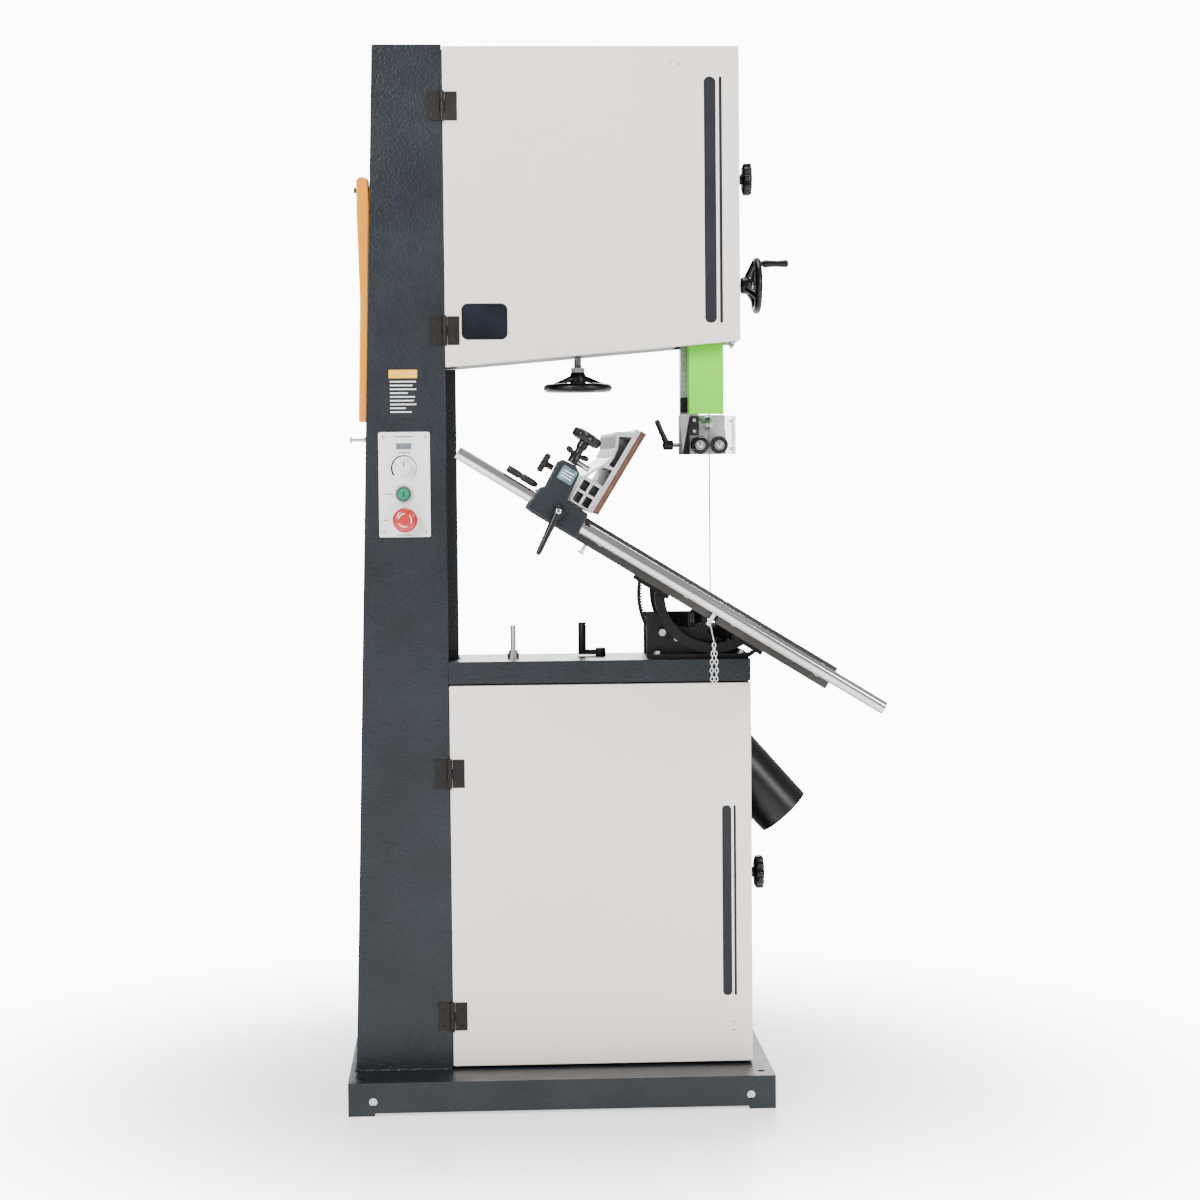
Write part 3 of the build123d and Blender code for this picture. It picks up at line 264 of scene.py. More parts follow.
NODE_FINISH = {
    "slate": ["base_pan", "spine_column", "upper_housing", "lower_housing", "fence_carrier"],
    "cream": ["upper_door", "lower_door"],
    "hinge": ["column_hinges", "upper_door_leaves", "lower_door_leaves"],
    "cast_black": ["trunnion_base", "table_arms", "belt_crank"],
    "black_paint": ["motor"],
    "black_plastic": ["dust_port", "fence_fittings", "table_lock_knob"],
    "steel": ["lower_shaft", "guide_post", "post_pinion", "tension_carriage", "upper_bearings",
              "lower_bearings", "tension_spring", "lower_guides", "motor_pulley", "tilt_pinion"],
    "zinc": ["frame_fittings", "table_fittings"],
    "orange": ["push_stick"],
    "iron_top": ["table"],
    "wheel_iron": ["upper_wheel", "lower_wheel"],
    "chrome": ["fence_rail"],
    "aluminium": ["fence_extrusion", "guide_bracket"],
    "facing": ["fence_facing"],
    "rubber": ["upper_tyre", "lower_tyre", "drive_belt"],
    "clear": ["clear_guard"],
    "pane": ["door_window"],
    "green": ["blade_cover"],
}


# Geometry. Each builder returns (vertices, faces) in metres, from sizes in millimetres.


def at(x, y, z):
    return Vector((x, y, z)) * MM


def axes_for(direction):
    """The unit vector along direction, and two square to it."""
    along = Vector(direction).normalized()
    side = Vector((0, 0, 1)).cross(along)
    if side.length < 1e-3:
        side = Vector((1, 0, 0))
    side.normalize()
    return along, side, along.cross(side)


def lathe(place, direction, profile, segments=48, flute=None):
    """A profile of (radius, height) turned about an axis. Points with a third value follow flute(angle)."""
    along, side, other = axes_for(direction)
    count = len(profile)
    vertices, faces = [], []
    for step in range(segments):
        angle = 2 * math.pi * step / segments
        ray = side * math.cos(angle) + other * math.sin(angle)
        for radius, height, *fluted in profile:
            scale = flute(angle) if fluted and flute else 1
            vertices.append(place + (along * height + ray * radius * scale) * MM)
        after = (step + 1) % segments
        for index in range(count - 1):
            faces.append((step * count + index, after * count + index, after * count + index + 1,
                          step * count + index + 1))
    return vertices, faces


def ring(place, direction, radius, section, segments=64, steps=16):
    """A torus whose section has the two half-widths in section: outwards and along the axis."""
    profile = [(radius + section[0] * math.cos(2 * math.pi * s / steps),
                section[1] * math.sin(2 * math.pi * s / steps))
               for s in range(steps + 1)]
    return lathe(place, direction, profile, segments)


def prism(outline, origin, across, up, depth):
    """An outline of (a, b) points in the plane of across and up, thickened towards across x up."""
    across, up = Vector(across).normalized(), Vector(up).normalized()
    out = across.cross(up) * depth * MM
    count = len(outline)
    near = [origin + (across * a + up * b) * MM for a, b in outline]
    faces = [tuple(range(count)), tuple(range(count, 2 * count))]
    faces += [(i, (i + 1) % count, count + (i + 1) % count, count + i) for i in range(count)]
    return near + [v + out for v in near], faces


def pipe(points, radii, sides=12, closed=False):
    """A round bar through these points. radii is one value, or one for each point."""
    count = len(points)
    radii = radii if isinstance(radii, (list, tuple)) else [radii] * count
    vertices, faces = [], []
    side = None
    for index, point in enumerate(points):
        before = points[index - 1] if closed or index else point
        after = points[(index + 1) % count] if closed or index < count - 1 else point
        along = (after - before).normalized()
        if side is None:
            side = axes_for(along)[1]
        side = (side - along * side.dot(along)).normalized()
        other = along.cross(side)
        for step in range(sides):
            angle = 2 * math.pi * step / sides
            vertices.append(point + (side * math.cos(angle) + other * math.sin(angle)) * radii[index] * MM)
    for index in range(count if closed else count - 1):
        after = (index + 1) % count
        for step in range(sides):
            beside = (step + 1) % sides
            faces.append((index * sides + step, after * sides + step, after * sides + beside,
                          index * sides + beside))
    if not closed:
        faces += [tuple(range(sides)), tuple(range((count - 1) * sides, count * sides))]
    return vertices, faces


def rounded(width, height, radius, steps=6):
    """Outline of a rectangle with round corners, about its centre."""
    points = []
    for corner, (sx, sy) in enumerate(((1, 1), (-1, 1), (-1, -1), (1, -1))):
        for step in range(steps + 1):
            angle = math.pi / 2 * (corner + step / steps)
            points.append((sx * (width / 2 - radius) + radius * math.cos(angle),
                           sy * (height / 2 - radius) + radius * math.sin(angle)))
    return points


def arc_band(inner, outer, start, end, steps=24, taper=1.0):
    """Outline of part of a ring, in degrees. taper is the end width as a share of the start width."""
    near, far = [], []
    for step in range(steps + 1):
        share = step / steps
        angle = math.radians(start + (end - start) * share)
        half = (outer - inner) / 2 * (1 + (taper - 1) * share)
        middle = (outer + inner) / 2
        near.append(((middle - half) * math.cos(angle), (middle - half) * math.sin(angle)))
        far.append(((middle + half) * math.cos(angle), (middle + half) * math.sin(angle)))
    return near + far[::-1]


def lobes(count, depth, sharpness=1.5):
    """A flute function with this many grooves."""
    return lambda angle: 1 - depth * (0.5 - 0.5 * math.cos(count * angle)) ** sharpness


def piece(name, shapes, material, body, bevel=0.0, instead_of=()):
    """One object from several shapes, riding a body."""
    vertices, faces = [], []
    for shape_vertices, shape_faces in shapes:
        first = len(vertices)
        vertices += [tuple(v) for v in shape_vertices]
        faces += [tuple(first + i for i in face) for face in shape_faces]
    mesh = bpy.data.meshes.new(name)
    mesh.from_pydata(vertices, [], faces)
    shape = bmesh.new()
    shape.from_mesh(mesh)
    bmesh.ops.remove_doubles(shape, verts=shape.verts, dist=1e-7)
    bmesh.ops.dissolve_degenerate(shape, dist=1e-7, edges=shape.edges)
    bmesh.ops.recalc_face_normals(shape, faces=shape.faces)
    shape.to_mesh(mesh)
    shape.free()
    mesh.shade_smooth()
    mesh.set_sharp_from_angle(angle=math.radians(38))
    mesh.materials.append(MATERIALS[material])
    made = bpy.data.objects.new(name, mesh)
    bpy.context.scene.collection.objects.link(made)
    if bevel:
        round_edges(made, bevel)
    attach(made, body)
    if instead_of:
        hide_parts(*instead_of)
    return made


def round_edges(target, width):
    """A small rounding on every sharp edge."""
    rounding = target.modifiers.new("rounding", "BEVEL")
    rounding.width = width * MM
    rounding.segments = 2
    rounding.limit_method = "ANGLE"
    rounding.angle_limit = math.radians(40)
    rounding.harden_normals = True


def dress_nodes():
    """Gives each CAD node its material."""
    for key, names in NODE_FINISH.items():
        for name in names:
            NODES[name].data.materials.clear()
            NODES[name].data.materials.append(MATERIALS[key])


def repaint(node, material, where):
    """Gives a CAD node a second material on the faces for which where(centre, normal) holds, in mm."""
    mesh = NODES[node].data
    mesh.materials.append(MATERIALS[material])
    index = len(mesh.materials) - 1
    for face in mesh.polygons:
        if where(face.center / MM, face.normal):
            face.material_index = index


def screw(place, outward, radius, sides=18):
    """A domed head with a round socket."""
    return lathe(place, outward, [(0.01, -0.2 * radius), (radius, -0.2 * radius), (radius, 0.25 * radius),
                                  (0.8 * radius, 0.5 * radius), (0.5 * radius, 0.58 * radius),
                                  (0.45 * radius, 0.2 * radius), (0.01, 0.2 * radius)], sides)


def cap_screw(place, outward, radius):
    """A tall socket head with a knurled side."""
    return lathe(place, outward,
                 [(0.01, -0.2), (radius, -0.2, 1), (radius, 1.4 * radius, 1), (0.85 * radius, 1.7 * radius),
                                  (0.5 * radius, 1.7 * radius), (0.5 * radius, radius), (0.01, radius)], 48,
                 lobes(16, 0.08))


def hex_head(place, outward, radius, height):
    """A hexagon head with its corners turned away, on a washer."""
    along, side, other = axes_for(outward)
    hexagon = [(radius * math.cos(math.pi / 3 * k), radius * math.sin(math.pi / 3 * k)) for k in range(6)]
    crown = lathe(place + along * height * MM, outward,
                  [(0.01, 0.4), (0.75 * radius, 0.4), (0.9 * radius, 0)], 24)
    washer = lathe(place, outward, [(0.01, -0.2), (1.3 * radius, -0.2), (1.3 * radius, 1.2), (0.01, 1.2)], 28)
    return [prism(hexagon, place, side, other, height), crown, washer]


# The table's own directions at rest, from the tilt and the fence's slide

PIVOT = Vector(JOINTS["table_tilt"]["pos_m"])
ACROSS = Vector(JOINTS["fence_slide"]["axis"]).normalized()
TABLE_UP = ACROSS.cross(Vector((0, 1, 0))).normalized()


def on_table(across, y, up):
    """A point at millimetres across the table, along Y and above its top."""
    return PIVOT + (ACROSS * across + TABLE_UP * up) * MM + Vector((0, y * MM - PIVOT.y, 0))


def table_place(point):
    """The same, backwards: a point in millimetres as (across, y, up)."""
    offset = Vector(point) - PIVOT / MM
    return offset.dot(ACROSS), point[1], offset.dot(TABLE_UP)


# Millimetre places shared by several pieces

FRONT = -118
LEFT, RIGHT = (-1, 0, 0), (1, 0, 0)
AHEAD, TOWARDS_BACK = (0, -1, 0), (0, 1, 0)
SKY, DOWN = (0, 0, 1), (0, 0, -1)
WHEEL_X = 46
HINGE_X = -184.5
PANEL_X = -256
PLATE_FACE = FRONT - 3
FENCE_Y = -348
LEVER_ACROSS, LEVER_UP = -313, -15
TOP_KNOB_ACROSS = -333
WELD_LEVEL = 57
PORT_AXIS = Vector((0.668089, 0, -0.744082))
MOTOR_X, MOTOR_Z = -80, 200
LEVER_STEPS = (0, 0.15, 0.3, 0.45, 0.6, 0.75, 0.9, 0.97, 1)
GRILLE_RADII = (14, 24, 34, 44, 54)
CLAMP_LEVEL = 1123.5


def face_plate(name, centre_x, centre_z, outline, lift, depth, material, body, bevel=0.0,
               instead_of=()):
    """A flat shape lying on the front, its back at FRONT - lift."""
    shape = prism(outline, at(centre_x, FRONT - lift, centre_z), RIGHT, SKY, depth)
    return piece(name, [shape], material, body, bevel, instead_of)


def shift(outline, across, up):
    return [(a + across, b + up) for a, b in outline]


def add_doors():
    """Screws and plain stripes on both doors."""
    for name, body, places in (
        ("upper_door_screws", "upper_door", ((201, 1766), (216.5, 1766))),
        ("lower_door_screws", "lower_door", ((299.4, 130), (299.4, 116.5))),
    ):
        piece(name, [screw(at(x, FRONT, z), AHEAD, 2.6) for x, z in places], "zinc", body)
    for name, body, x, width, low_z, high_z in (
        ("upper_door_stripe", "upper_door", 268, 20, 1330, 1745),
        ("upper_door_pinstripe", "upper_door", 286, 5, 1330, 1745),
        ("lower_door_stripe", "lower_door", 289, 16, 176, 505),
        ("lower_door_pinstripe", "lower_door", 303, 4, 176, 505),
    ):
        outline = rounded(width, high_z - low_z, width / 2.2)
        face_plate(name, x, (low_z + high_z) / 2, outline, 0, 0.3, "charcoal", body)


def add_window_seal():
    """A rubber lip round the window."""
    outline = rounded(76, 59, 10)
    points = [at(-117 + a, FRONT + 0.5, 1334.5 + b) for a, b in outline]
    piece("window_seal", [pipe(points, 1.3, 10, closed=True)], "rubber", "upper_door")


def add_hinge_screws():
    """Two countersunk screws in every hinge leaf."""
    for body, side, levels in (
        ("frame", -1, (1696.5, 1319.5, 566, 148)),
        ("upper_door", 1, (1696.5, 1319.5)),
        ("lower_door", 1, (566, 148)),
    ):
        heads = []
        for level in levels:
            for drop in (-14, 14):
                place = at(HINGE_X + side * 15.5, FRONT - 2.1, level + drop)
                heads.append(lathe(place, AHEAD,
                                   [(0.01, 0.1), (1.2, 0.1), (1.6, 0.9), (3.4, 0.5), (4.1, -0.1)], 20))
        name = "column_hinge_screws" if body == "frame" else body + "_hinge_screws"
        piece(name, heads, "hinge", body)


def add_latch_knob(which, x, z, radius):
    """A fluted black knob that closes a door."""
    flutes = lobes(10, 0.17, 2.2)
    body_shape = [(0.01, 9), (10, 9), (radius * 0.8, 10, 1), (radius, 13, 1), (radius, 23, 1),
                  (radius * 0.93, 25.6, 1), (radius * 0.6, 26), (8, 24.4), (0.01, 24.2)]
    stem = [(0.01, -8), (6, -8), (6, -1), (13.6, -1), (13.6, 3), (9, 4), (9, 10), (0.01, 10)]
    place = at(x, -58, z)
    piece(which + "_latch_knob_fluted",
          [lathe(place, RIGHT, body_shape, 120, flutes), lathe(place, RIGHT, stem, 32)],
          "black_plastic", which + "_latch", instead_of=(which + "_latch_knob",))


def wheel_spokes(centre, axis, hub, rim, lift, drop):
    """Three tapering spokes of a dished handwheel, each running from the hub out and back to the rim."""
    along, side, other = axes_for(axis)
    shapes = []
    for spoke in range(3):
        angle = math.radians(90 + 120 * spoke)
        ray = side * math.cos(angle) + other * math.sin(angle)
        points, radii = [], []
        for step in range(9):
            share = step / 8
            curve = lift + (drop - lift) * (share ** 1.4)
            points.append(centre + (ray * (hub + (rim - hub) * share) + along * curve) * MM)
            radii.append(6.2 - 1.6 * math.sin(math.pi * share))
        shapes.append(pipe(points, radii, 14))
    return shapes


def add_tension_wheel():
    """The handwheel that tightens the blade, with its nut and threaded screw."""
    centre = at(WHEEL_X, 20, 1225)
    hub = [(0.01, 3), (12, 3), (14, 6), (14.6, 14), (13.5, 24), (11.5, 27), (0.01, 27)]
    black = [ring(centre, SKY, 52, (8.3, 7.2), 96, 20), lathe(centre, SKY, hub, 40)]
    black += wheel_spokes(centre, SKY, 8, 50, 17, 1)
    piece("tension_handwheel_black", black, "black_plastic", "tension_drive",
          instead_of=("tension_handwheel",))
    _, side, other = axes_for(SKY)
    hexagon = [(12 * math.cos(math.pi / 3 * k), 12 * math.sin(math.pi / 3 * k)) for k in range(6)]
    nut = prism(hexagon, centre + at(0, 0, 27), side, other, 8)
    thread = [(0.01, 35)]
    for turn in range(24):
        thread += [(6.3, 35 + 2 * turn), (7, 36 + 2 * turn)]
    thread += [(6.8, 83), (6.8, 275), (0.01, 275)]
    cap = [(0.01, -1), (5.5, -1), (7, 0.5), (7, 3.2), (0.01, 3.2)]
    piece("tension_screw", [nut, lathe(centre, SKY, thread, 32), lathe(centre, SKY, cap, 32)], "steel",
          "tension_drive")


def add_post_wheel():
    """The handwheel and turning handle that raise the guide post."""
    centre = at(356, 36, 1403)
    hub = [(0.01, -22), (12, -22), (15, -19), (15, -7), (13, -4), (0.01, -4)]
    black = [ring(centre + at(6.5, 0, 0), RIGHT, 43.6, (6.2, 6.3), 90, 18), lathe(centre, RIGHT, hub, 36)]
    black += wheel_spokes(centre, RIGHT, 9, 42, -11, 5)
    piece("post_handwheel_black", black, "black_plastic", "post_drive",
          instead_of=("post_handwheel",))
    boss = [(0.01, -4.4), (7.5, -4.4), (7.5, -1.2), (6, 0.4), (0.01, 0.8)]
    piece("post_wheel_nut", [lathe(centre, RIGHT, boss, 6)], "chrome", "post_drive")
    grip = [(0.01, 5), (4.8, 5), (6.4, 6.2), (7, 10), (6, 20), (5.6, 30), (6.4, 40), (6.9, 46), (6, 49),
            (3, 50.2), (0.01, 50.3)]
    stem = [(0.01, 0.6), (5, 0.6), (5, 5.5), (0.01, 5.5)]
    place = at(369, 36, 1441)
    piece("post_handle_grip", [lathe(place, RIGHT, grip, 36), lathe(place, RIGHT, stem, 24)], "black_plastic",
          "post_handle", instead_of=("post_handle",))


def add_blade():
    """The toothed band, still, running round both wheels."""
    centre_x, high_z, low_z, radius, thickness = 46, 1550, 390, 225, 0.8
    pitch, gullet, front_y, back_y = 6.35, 2.2, -40, -20
    straight = high_z - low_z
    length = 2 * straight + 2 * math.pi * radius
    teeth = round(length / pitch)

    def spot(distance, out):
        distance %= length
        if distance < straight:
            return centre_x + radius + out, low_z + distance
        distance -= straight
        if distance < math.pi * radius:
            angle = distance / radius
            return centre_x + (radius + out) * math.cos(angle), high_z + (radius + out) * math.sin(angle)
        distance -= math.pi * radius
        if distance < straight:
            return centre_x - radius - out, high_z - distance
        angle = math.pi + (distance - straight) / radius
        return centre_x + (radius + out) * math.cos(angle), low_z + (radius + out) * math.sin(angle)

    vertices, faces = [], []
    for step in range(2 * teeth):
        distance = step * length / (2 * teeth)
        reach = 0 if step % 2 else gullet
        # each tooth leans down the right-hand run, the way the band travels
        lean = -0.35 * pitch if step % 2 else 0
        for out in (0, thickness):
            for y, slip in ((front_y + reach, lean), (front_y + gullet + 0.4, 0), (back_y, 0)):
                x, z = spot(distance + slip, out)
                vertices.append(at(x, y, z))
    count = len(vertices)
    for step in range(2 * teeth):
        a, b = step * 6, (step * 6 + 6) % count
        for side in (0, 3):
            for k in (0, 1):
                faces.append((a + side + k, b + side + k, b + side + k + 1, a + side + k + 1))
        faces.append((a, b, b + 3, a + 3))
        faces.append((a + 2, b + 2, b + 5, a + 5))
    piece("blade_band", [(vertices, faces)], "blade", "frame", instead_of=("blade",))


def add_guides():
    """Rollers, thrust bearing, thumb nut, clamp lever and screws round the blade above the table."""
    level = 1123
    for side, x in (("left", 254.6), ("right", 288.2)):
        place = at(x, -39, level)
        tyre = [(9.2, 0.6), (9.2, -0.1), (14.4, -0.1), (15.5, 0.9), (15.5, 6), (15.1, 6.6), (15.1, 7.4),
                (15.5, 8), (15.5, 13), (14.4, 14), (5, 14), (5, 1)]
        piece(side + "_roller_tyre", [lathe(place, TOWARDS_BACK, tyre, 56)], "rubber", side + "_roller",
              instead_of=(side + "_roller",))
        hub = [(9.2, 0.6), (8.6, 0.9), (8, 0.2), (5.4, 0.2), (5, 0.8)]
        piece(side + "_roller_hub", [lathe(place, TOWARDS_BACK, hub, 40)], "chrome", side + "_roller")
        piece(side + "_roller_axle", hex_head(at(x, -42, level), AHEAD, 5.2, 1.6), "chrome", "guide")
    knurl = lobes(30, 0.07)
    nut = [(0.01, -0.3), (8.4, -0.3), (9.4, 0.7, 1), (9.4, 8.3, 1), (8.4, 9.3), (0.01, 9.3)]
    piece("guide_thumb_nut", [lathe(at(252, -6.5, 1160), RIGHT, nut, 120, knurl)], "zinc", "guide")
    disc = [(0.01, -0.2), (12.2, -0.2), (13.1, 0.7), (13.1, 8.4), (12.2, 9.3), (8, 9.3), (7.4, 8.6),
            (0.01, 8.6)]
    piece("guide_thrust_bearing", [lathe(at(267, -6.5, 1160), RIGHT, disc, 48)], "chrome", "guide")
    piece("guide_cap_screws", [cap_screw(at(228, -32, z), AHEAD, 3.4) for z in (1186.5, 1200)], "black_paint",
          "guide")
    piece("guide_block_screws", [screw(at(243, -60, z), AHEAD, 3) for z in (1147, 1166)], "zinc", "guide")
    piece("guard_screws", [screw(at(306, -66, z), AHEAD, 3) for z in (1116, 1164)], "zinc", "guide")
    collar = [(0.01, 0), (6.6, 0), (8.5, 1.8), (8.5, 16.4), (6.6, 18), (0.01, 18)]
    foot, tip = at(196.5, -40, 1126), at(180.4, -40, 1163.4)
    points = [foot.lerp(tip, share / 6) for share in range(7)]
    end = (tip - foot).normalized()
    points += [tip + end * 2.6 * MM, tip + end * 4.2 * MM]
    lever = pipe(points, [5.6, 5.3, 5, 4.8, 4.7, 4.8, 4.9, 4, 1.6], 18)
    piece("clamp_lever_arm", [lathe(at(190, -40, CLAMP_LEVEL), RIGHT, collar, 40), lever], "black_plastic",
          "clamp_lever", instead_of=("clamp_lever",))
    stud = [(0.01, -1), (3, -1), (4, 0)] + [(4 - 0.45 * (turn % 2), 18 + turn)
                                            for turn in range(13)] + [(0.01, 31)]
    piece("clamp_stud", [lathe(at(190, -40, CLAMP_LEVEL), RIGHT, stud, 28)], "chrome", "clamp_lever")


def add_fence_parts():
    """Knobs, winged nut, fine adjuster, lever and plate on the fence carrier."""
    five = lobes(5, 0.2, 1.2)
    head = on_table(TOP_KNOB_ACROSS, FENCE_Y, 101)
    crown = [(0.01, 0), (17, 0), (24, 2.4, 1), (26, 6, 1), (26, 12.4, 1), (24, 16, 1), (16, 18), (7, 18),
             (6, 16.6), (0.01, 16.4)]
    neck = [(0.01, -10.6), (8.2, -10.6), (9, -9.6), (9, 1), (0.01, 1)]
    piece("fence_top_knob_lobed", [lathe(head, TABLE_UP, crown, 110, five), lathe(head, TABLE_UP, neck, 36)],
          "black_plastic", "fence_top_knob", instead_of=("fence_top_knob",))
    disc = [(0.01, 0), (13.6, 0), (16.5, 2, 1), (16.5, 8, 1), (14.6, 10), (6, 10), (5, 12), (0.01, 12)]
    stem = [(0.01, 11), (5, 11), (5, 22.4), (0.01, 22.4)]
    side = on_table(-377, FENCE_Y, 40)
    piece("fence_side_knob_fluted",
          [lathe(side, ACROSS, disc, 96, lobes(12, 0.12)), lathe(side, ACROSS, stem, 28)],
          "black_plastic", "fence_side_knob", instead_of=("fence_side_knob",))
    adjuster = [(0.01, 0), (5, 0), (6, 1, 1), (6, 22, 1), (5, 23), (4.6, 24), (4.6, 26), (5, 27), (6, 28, 1),
                (6, 50, 1), (5, 51), (4, 52), (4, 56), (0.01, 56)]
    boss = [(0.01, 0), (8, 0), (9, 1), (9, 12), (7, 15), (6.6, 24), (7.4, 28), (0.01, 28)]
    wings = []
    for way in (-1, 1):
        start = on_table(TOP_KNOB_ACROSS + 3 * way, FENCE_Y, 77)
        direction = (ACROSS * way + TABLE_UP * 0.25).normalized()
        wings.append(pipe([start + direction * k * 3 * MM for k in range(7)], [3.4, 3.6, 4, 4.6, 5, 4.6, 2.6],
                          14))
    piece("fence_black_fittings", [lathe(on_table(-418, FENCE_Y, 2.6), ACROSS, adjuster, 72, lobes(18, 0.1)),
                                   lathe(on_table(TOP_KNOB_ACROSS, FENCE_Y, 62.2), TABLE_UP, boss, 36),
                                   *wings],
          "black_plastic", "fence", instead_of=("fence_fittings",))
    rod = [(0.01, 0), (4.2, 0), (5, 0.8), (5, 26), (0.01, 26)]
    piece("fence_cross_rod", [lathe(on_table(-330, FENCE_Y, 68), ACROSS, rod, 28)], "chrome", "fence")
    points = [on_table(LEVER_ACROSS + 7 * s, -382 - 10 * s, LEVER_UP - 3 - 74 * s) for s in LEVER_STEPS]
    lever = pipe(points, [6.6, 6.2, 5.8, 5.3, 4.9, 4.6, 4.7, 4.2, 2], 18)
    pivot = [(0.01, -1), (8, -1), (9, 0), (9, 12.4), (8, 13.4), (0.01, 13.4)]
    piece("fence_lever_arm", [lathe(on_table(LEVER_ACROSS, -386, LEVER_UP), TOWARDS_BACK, pivot, 36), lever],
          "black_plastic", "fence_lever", instead_of=("fence_lever",))
    piece("fence_lever_bolt", [lathe(on_table(LEVER_ACROSS, -386.8, LEVER_UP), AHEAD,
                                     [(0.01, -0.4), (4.6, -0.4), (4.6, 1.4), (3.8, 2), (2.2, 2),
                                                                        (2, 0.6), (0.01, 0.6)], 24)],
          "chrome", "fence_lever")
    plate = prism(rounded(26, 24, 2.5), on_table(-330, -372, 42), ACROSS, TABLE_UP, 0.7)
    piece("fence_plate", [plate], "badge", "fence")
    bars = [prism(rounded(18, 1.6, 0.5), on_table(-330, -372.7, 42 + lift), ACROSS, TABLE_UP, 0.15)
            for lift in (5, 0, -5)]
    piece("fence_plate_bars", bars, "panel", "fence")
    end_screws = [screw(on_table(t, -365, n), AHEAD, 3) for t, n in ((-268, 88), (-268, 146))]
    piece("fence_end_screws", end_screws, "zinc", "fence")


def add_chain():
    """Open links hanging in two strands from the ring under the table's front edge."""
    links = []

    def link(centre, lean, turned):
        wide = Vector((0, 1, 0)) if turned else Vector((1, 0, 0))
        tall = (Vector((0, 0, 1)) + Vector((1, 0, 0)) * lean).normalized()
        points = []
        for step in range(20):
            angle = 2 * math.pi * step / 20
            points.append(centre + (wide * 2.6 * math.cos(angle) + tall * (3.9 * math.sin(angle))) * MM)
        links.append(pipe(points, 0.75, 8, closed=True))

    for strand, bottom, count in ((-1, 727, 11), (1, 727, 11)):
        for index in range(count):
            height = bottom + index * 6.9
            spread = 4 * math.sin(math.pi * min(1, 0.15 + index / (count + 1)))
            link(at(249 + strand * spread, -337, height), 0.05 * -strand, index % 2)
    link(at(249, -337, 724.5), 0, False)
    piece("pin_chain_links", links, "zinc", "pin_chain", instead_of=("pin_chain",))


def add_table_parts():
    """Screws on the insert, nuts on the rail's studs, and the taper pin's head."""
    insert = [screw(on_table(18 * math.cos(a), -30 + 18 * math.sin(a) * 1.1, 0), TABLE_UP, 2.4)
              for a in (math.radians(40), math.radians(220))]
    piece("insert_screws", insert, "zinc", "table")
    nuts = []
    for t in (-225, -60, 30, 190):
        nuts += hex_head(on_table(t, -318, -17.3), AHEAD, 9, 5)
    piece("rail_nuts", nuts, "zinc", "table")
    collar = [(0.01, -0.1), (4.4, -0.1), (5, 1), (5, 4), (4.4, 5), (0.01, 5)]
    piece("taper_pin_head", [lathe(on_table(-6, -322, -44), -TABLE_UP, collar, 28)], "chrome", "table")


def add_trunnion_parts():
    """Bolts through the castings and in their feet, and the lobed lock knob."""
    piece("trunnion_bolts",
          [cap_screw(at(x, -80, z), AHEAD, r) for x, z, r in ((183, 801, 6), (207, 790, 4.5))], "steel",
          "frame")
    feet = []
    for x, y in ((174, -94), (318, -94)):
        feet += hex_head(at(x, y, 765), SKY, 6.5, 5)
    piece("trunnion_foot_bolts", feet, "zinc", "frame")
    post = [(0.01, 0), (8, 0, 1), (9, 1.2, 1), (9, 18.5, 1), (8, 19.8, 1), (4.6, 20), (4.2, 18), (0.01, 18)]
    piece("table_lock_knob_fluted", [lathe(at(237, -71, 816), SKY, post, 60, lobes(5, 0.16))],
          "black_plastic", "table_lock", instead_of=("table_lock_knob",))


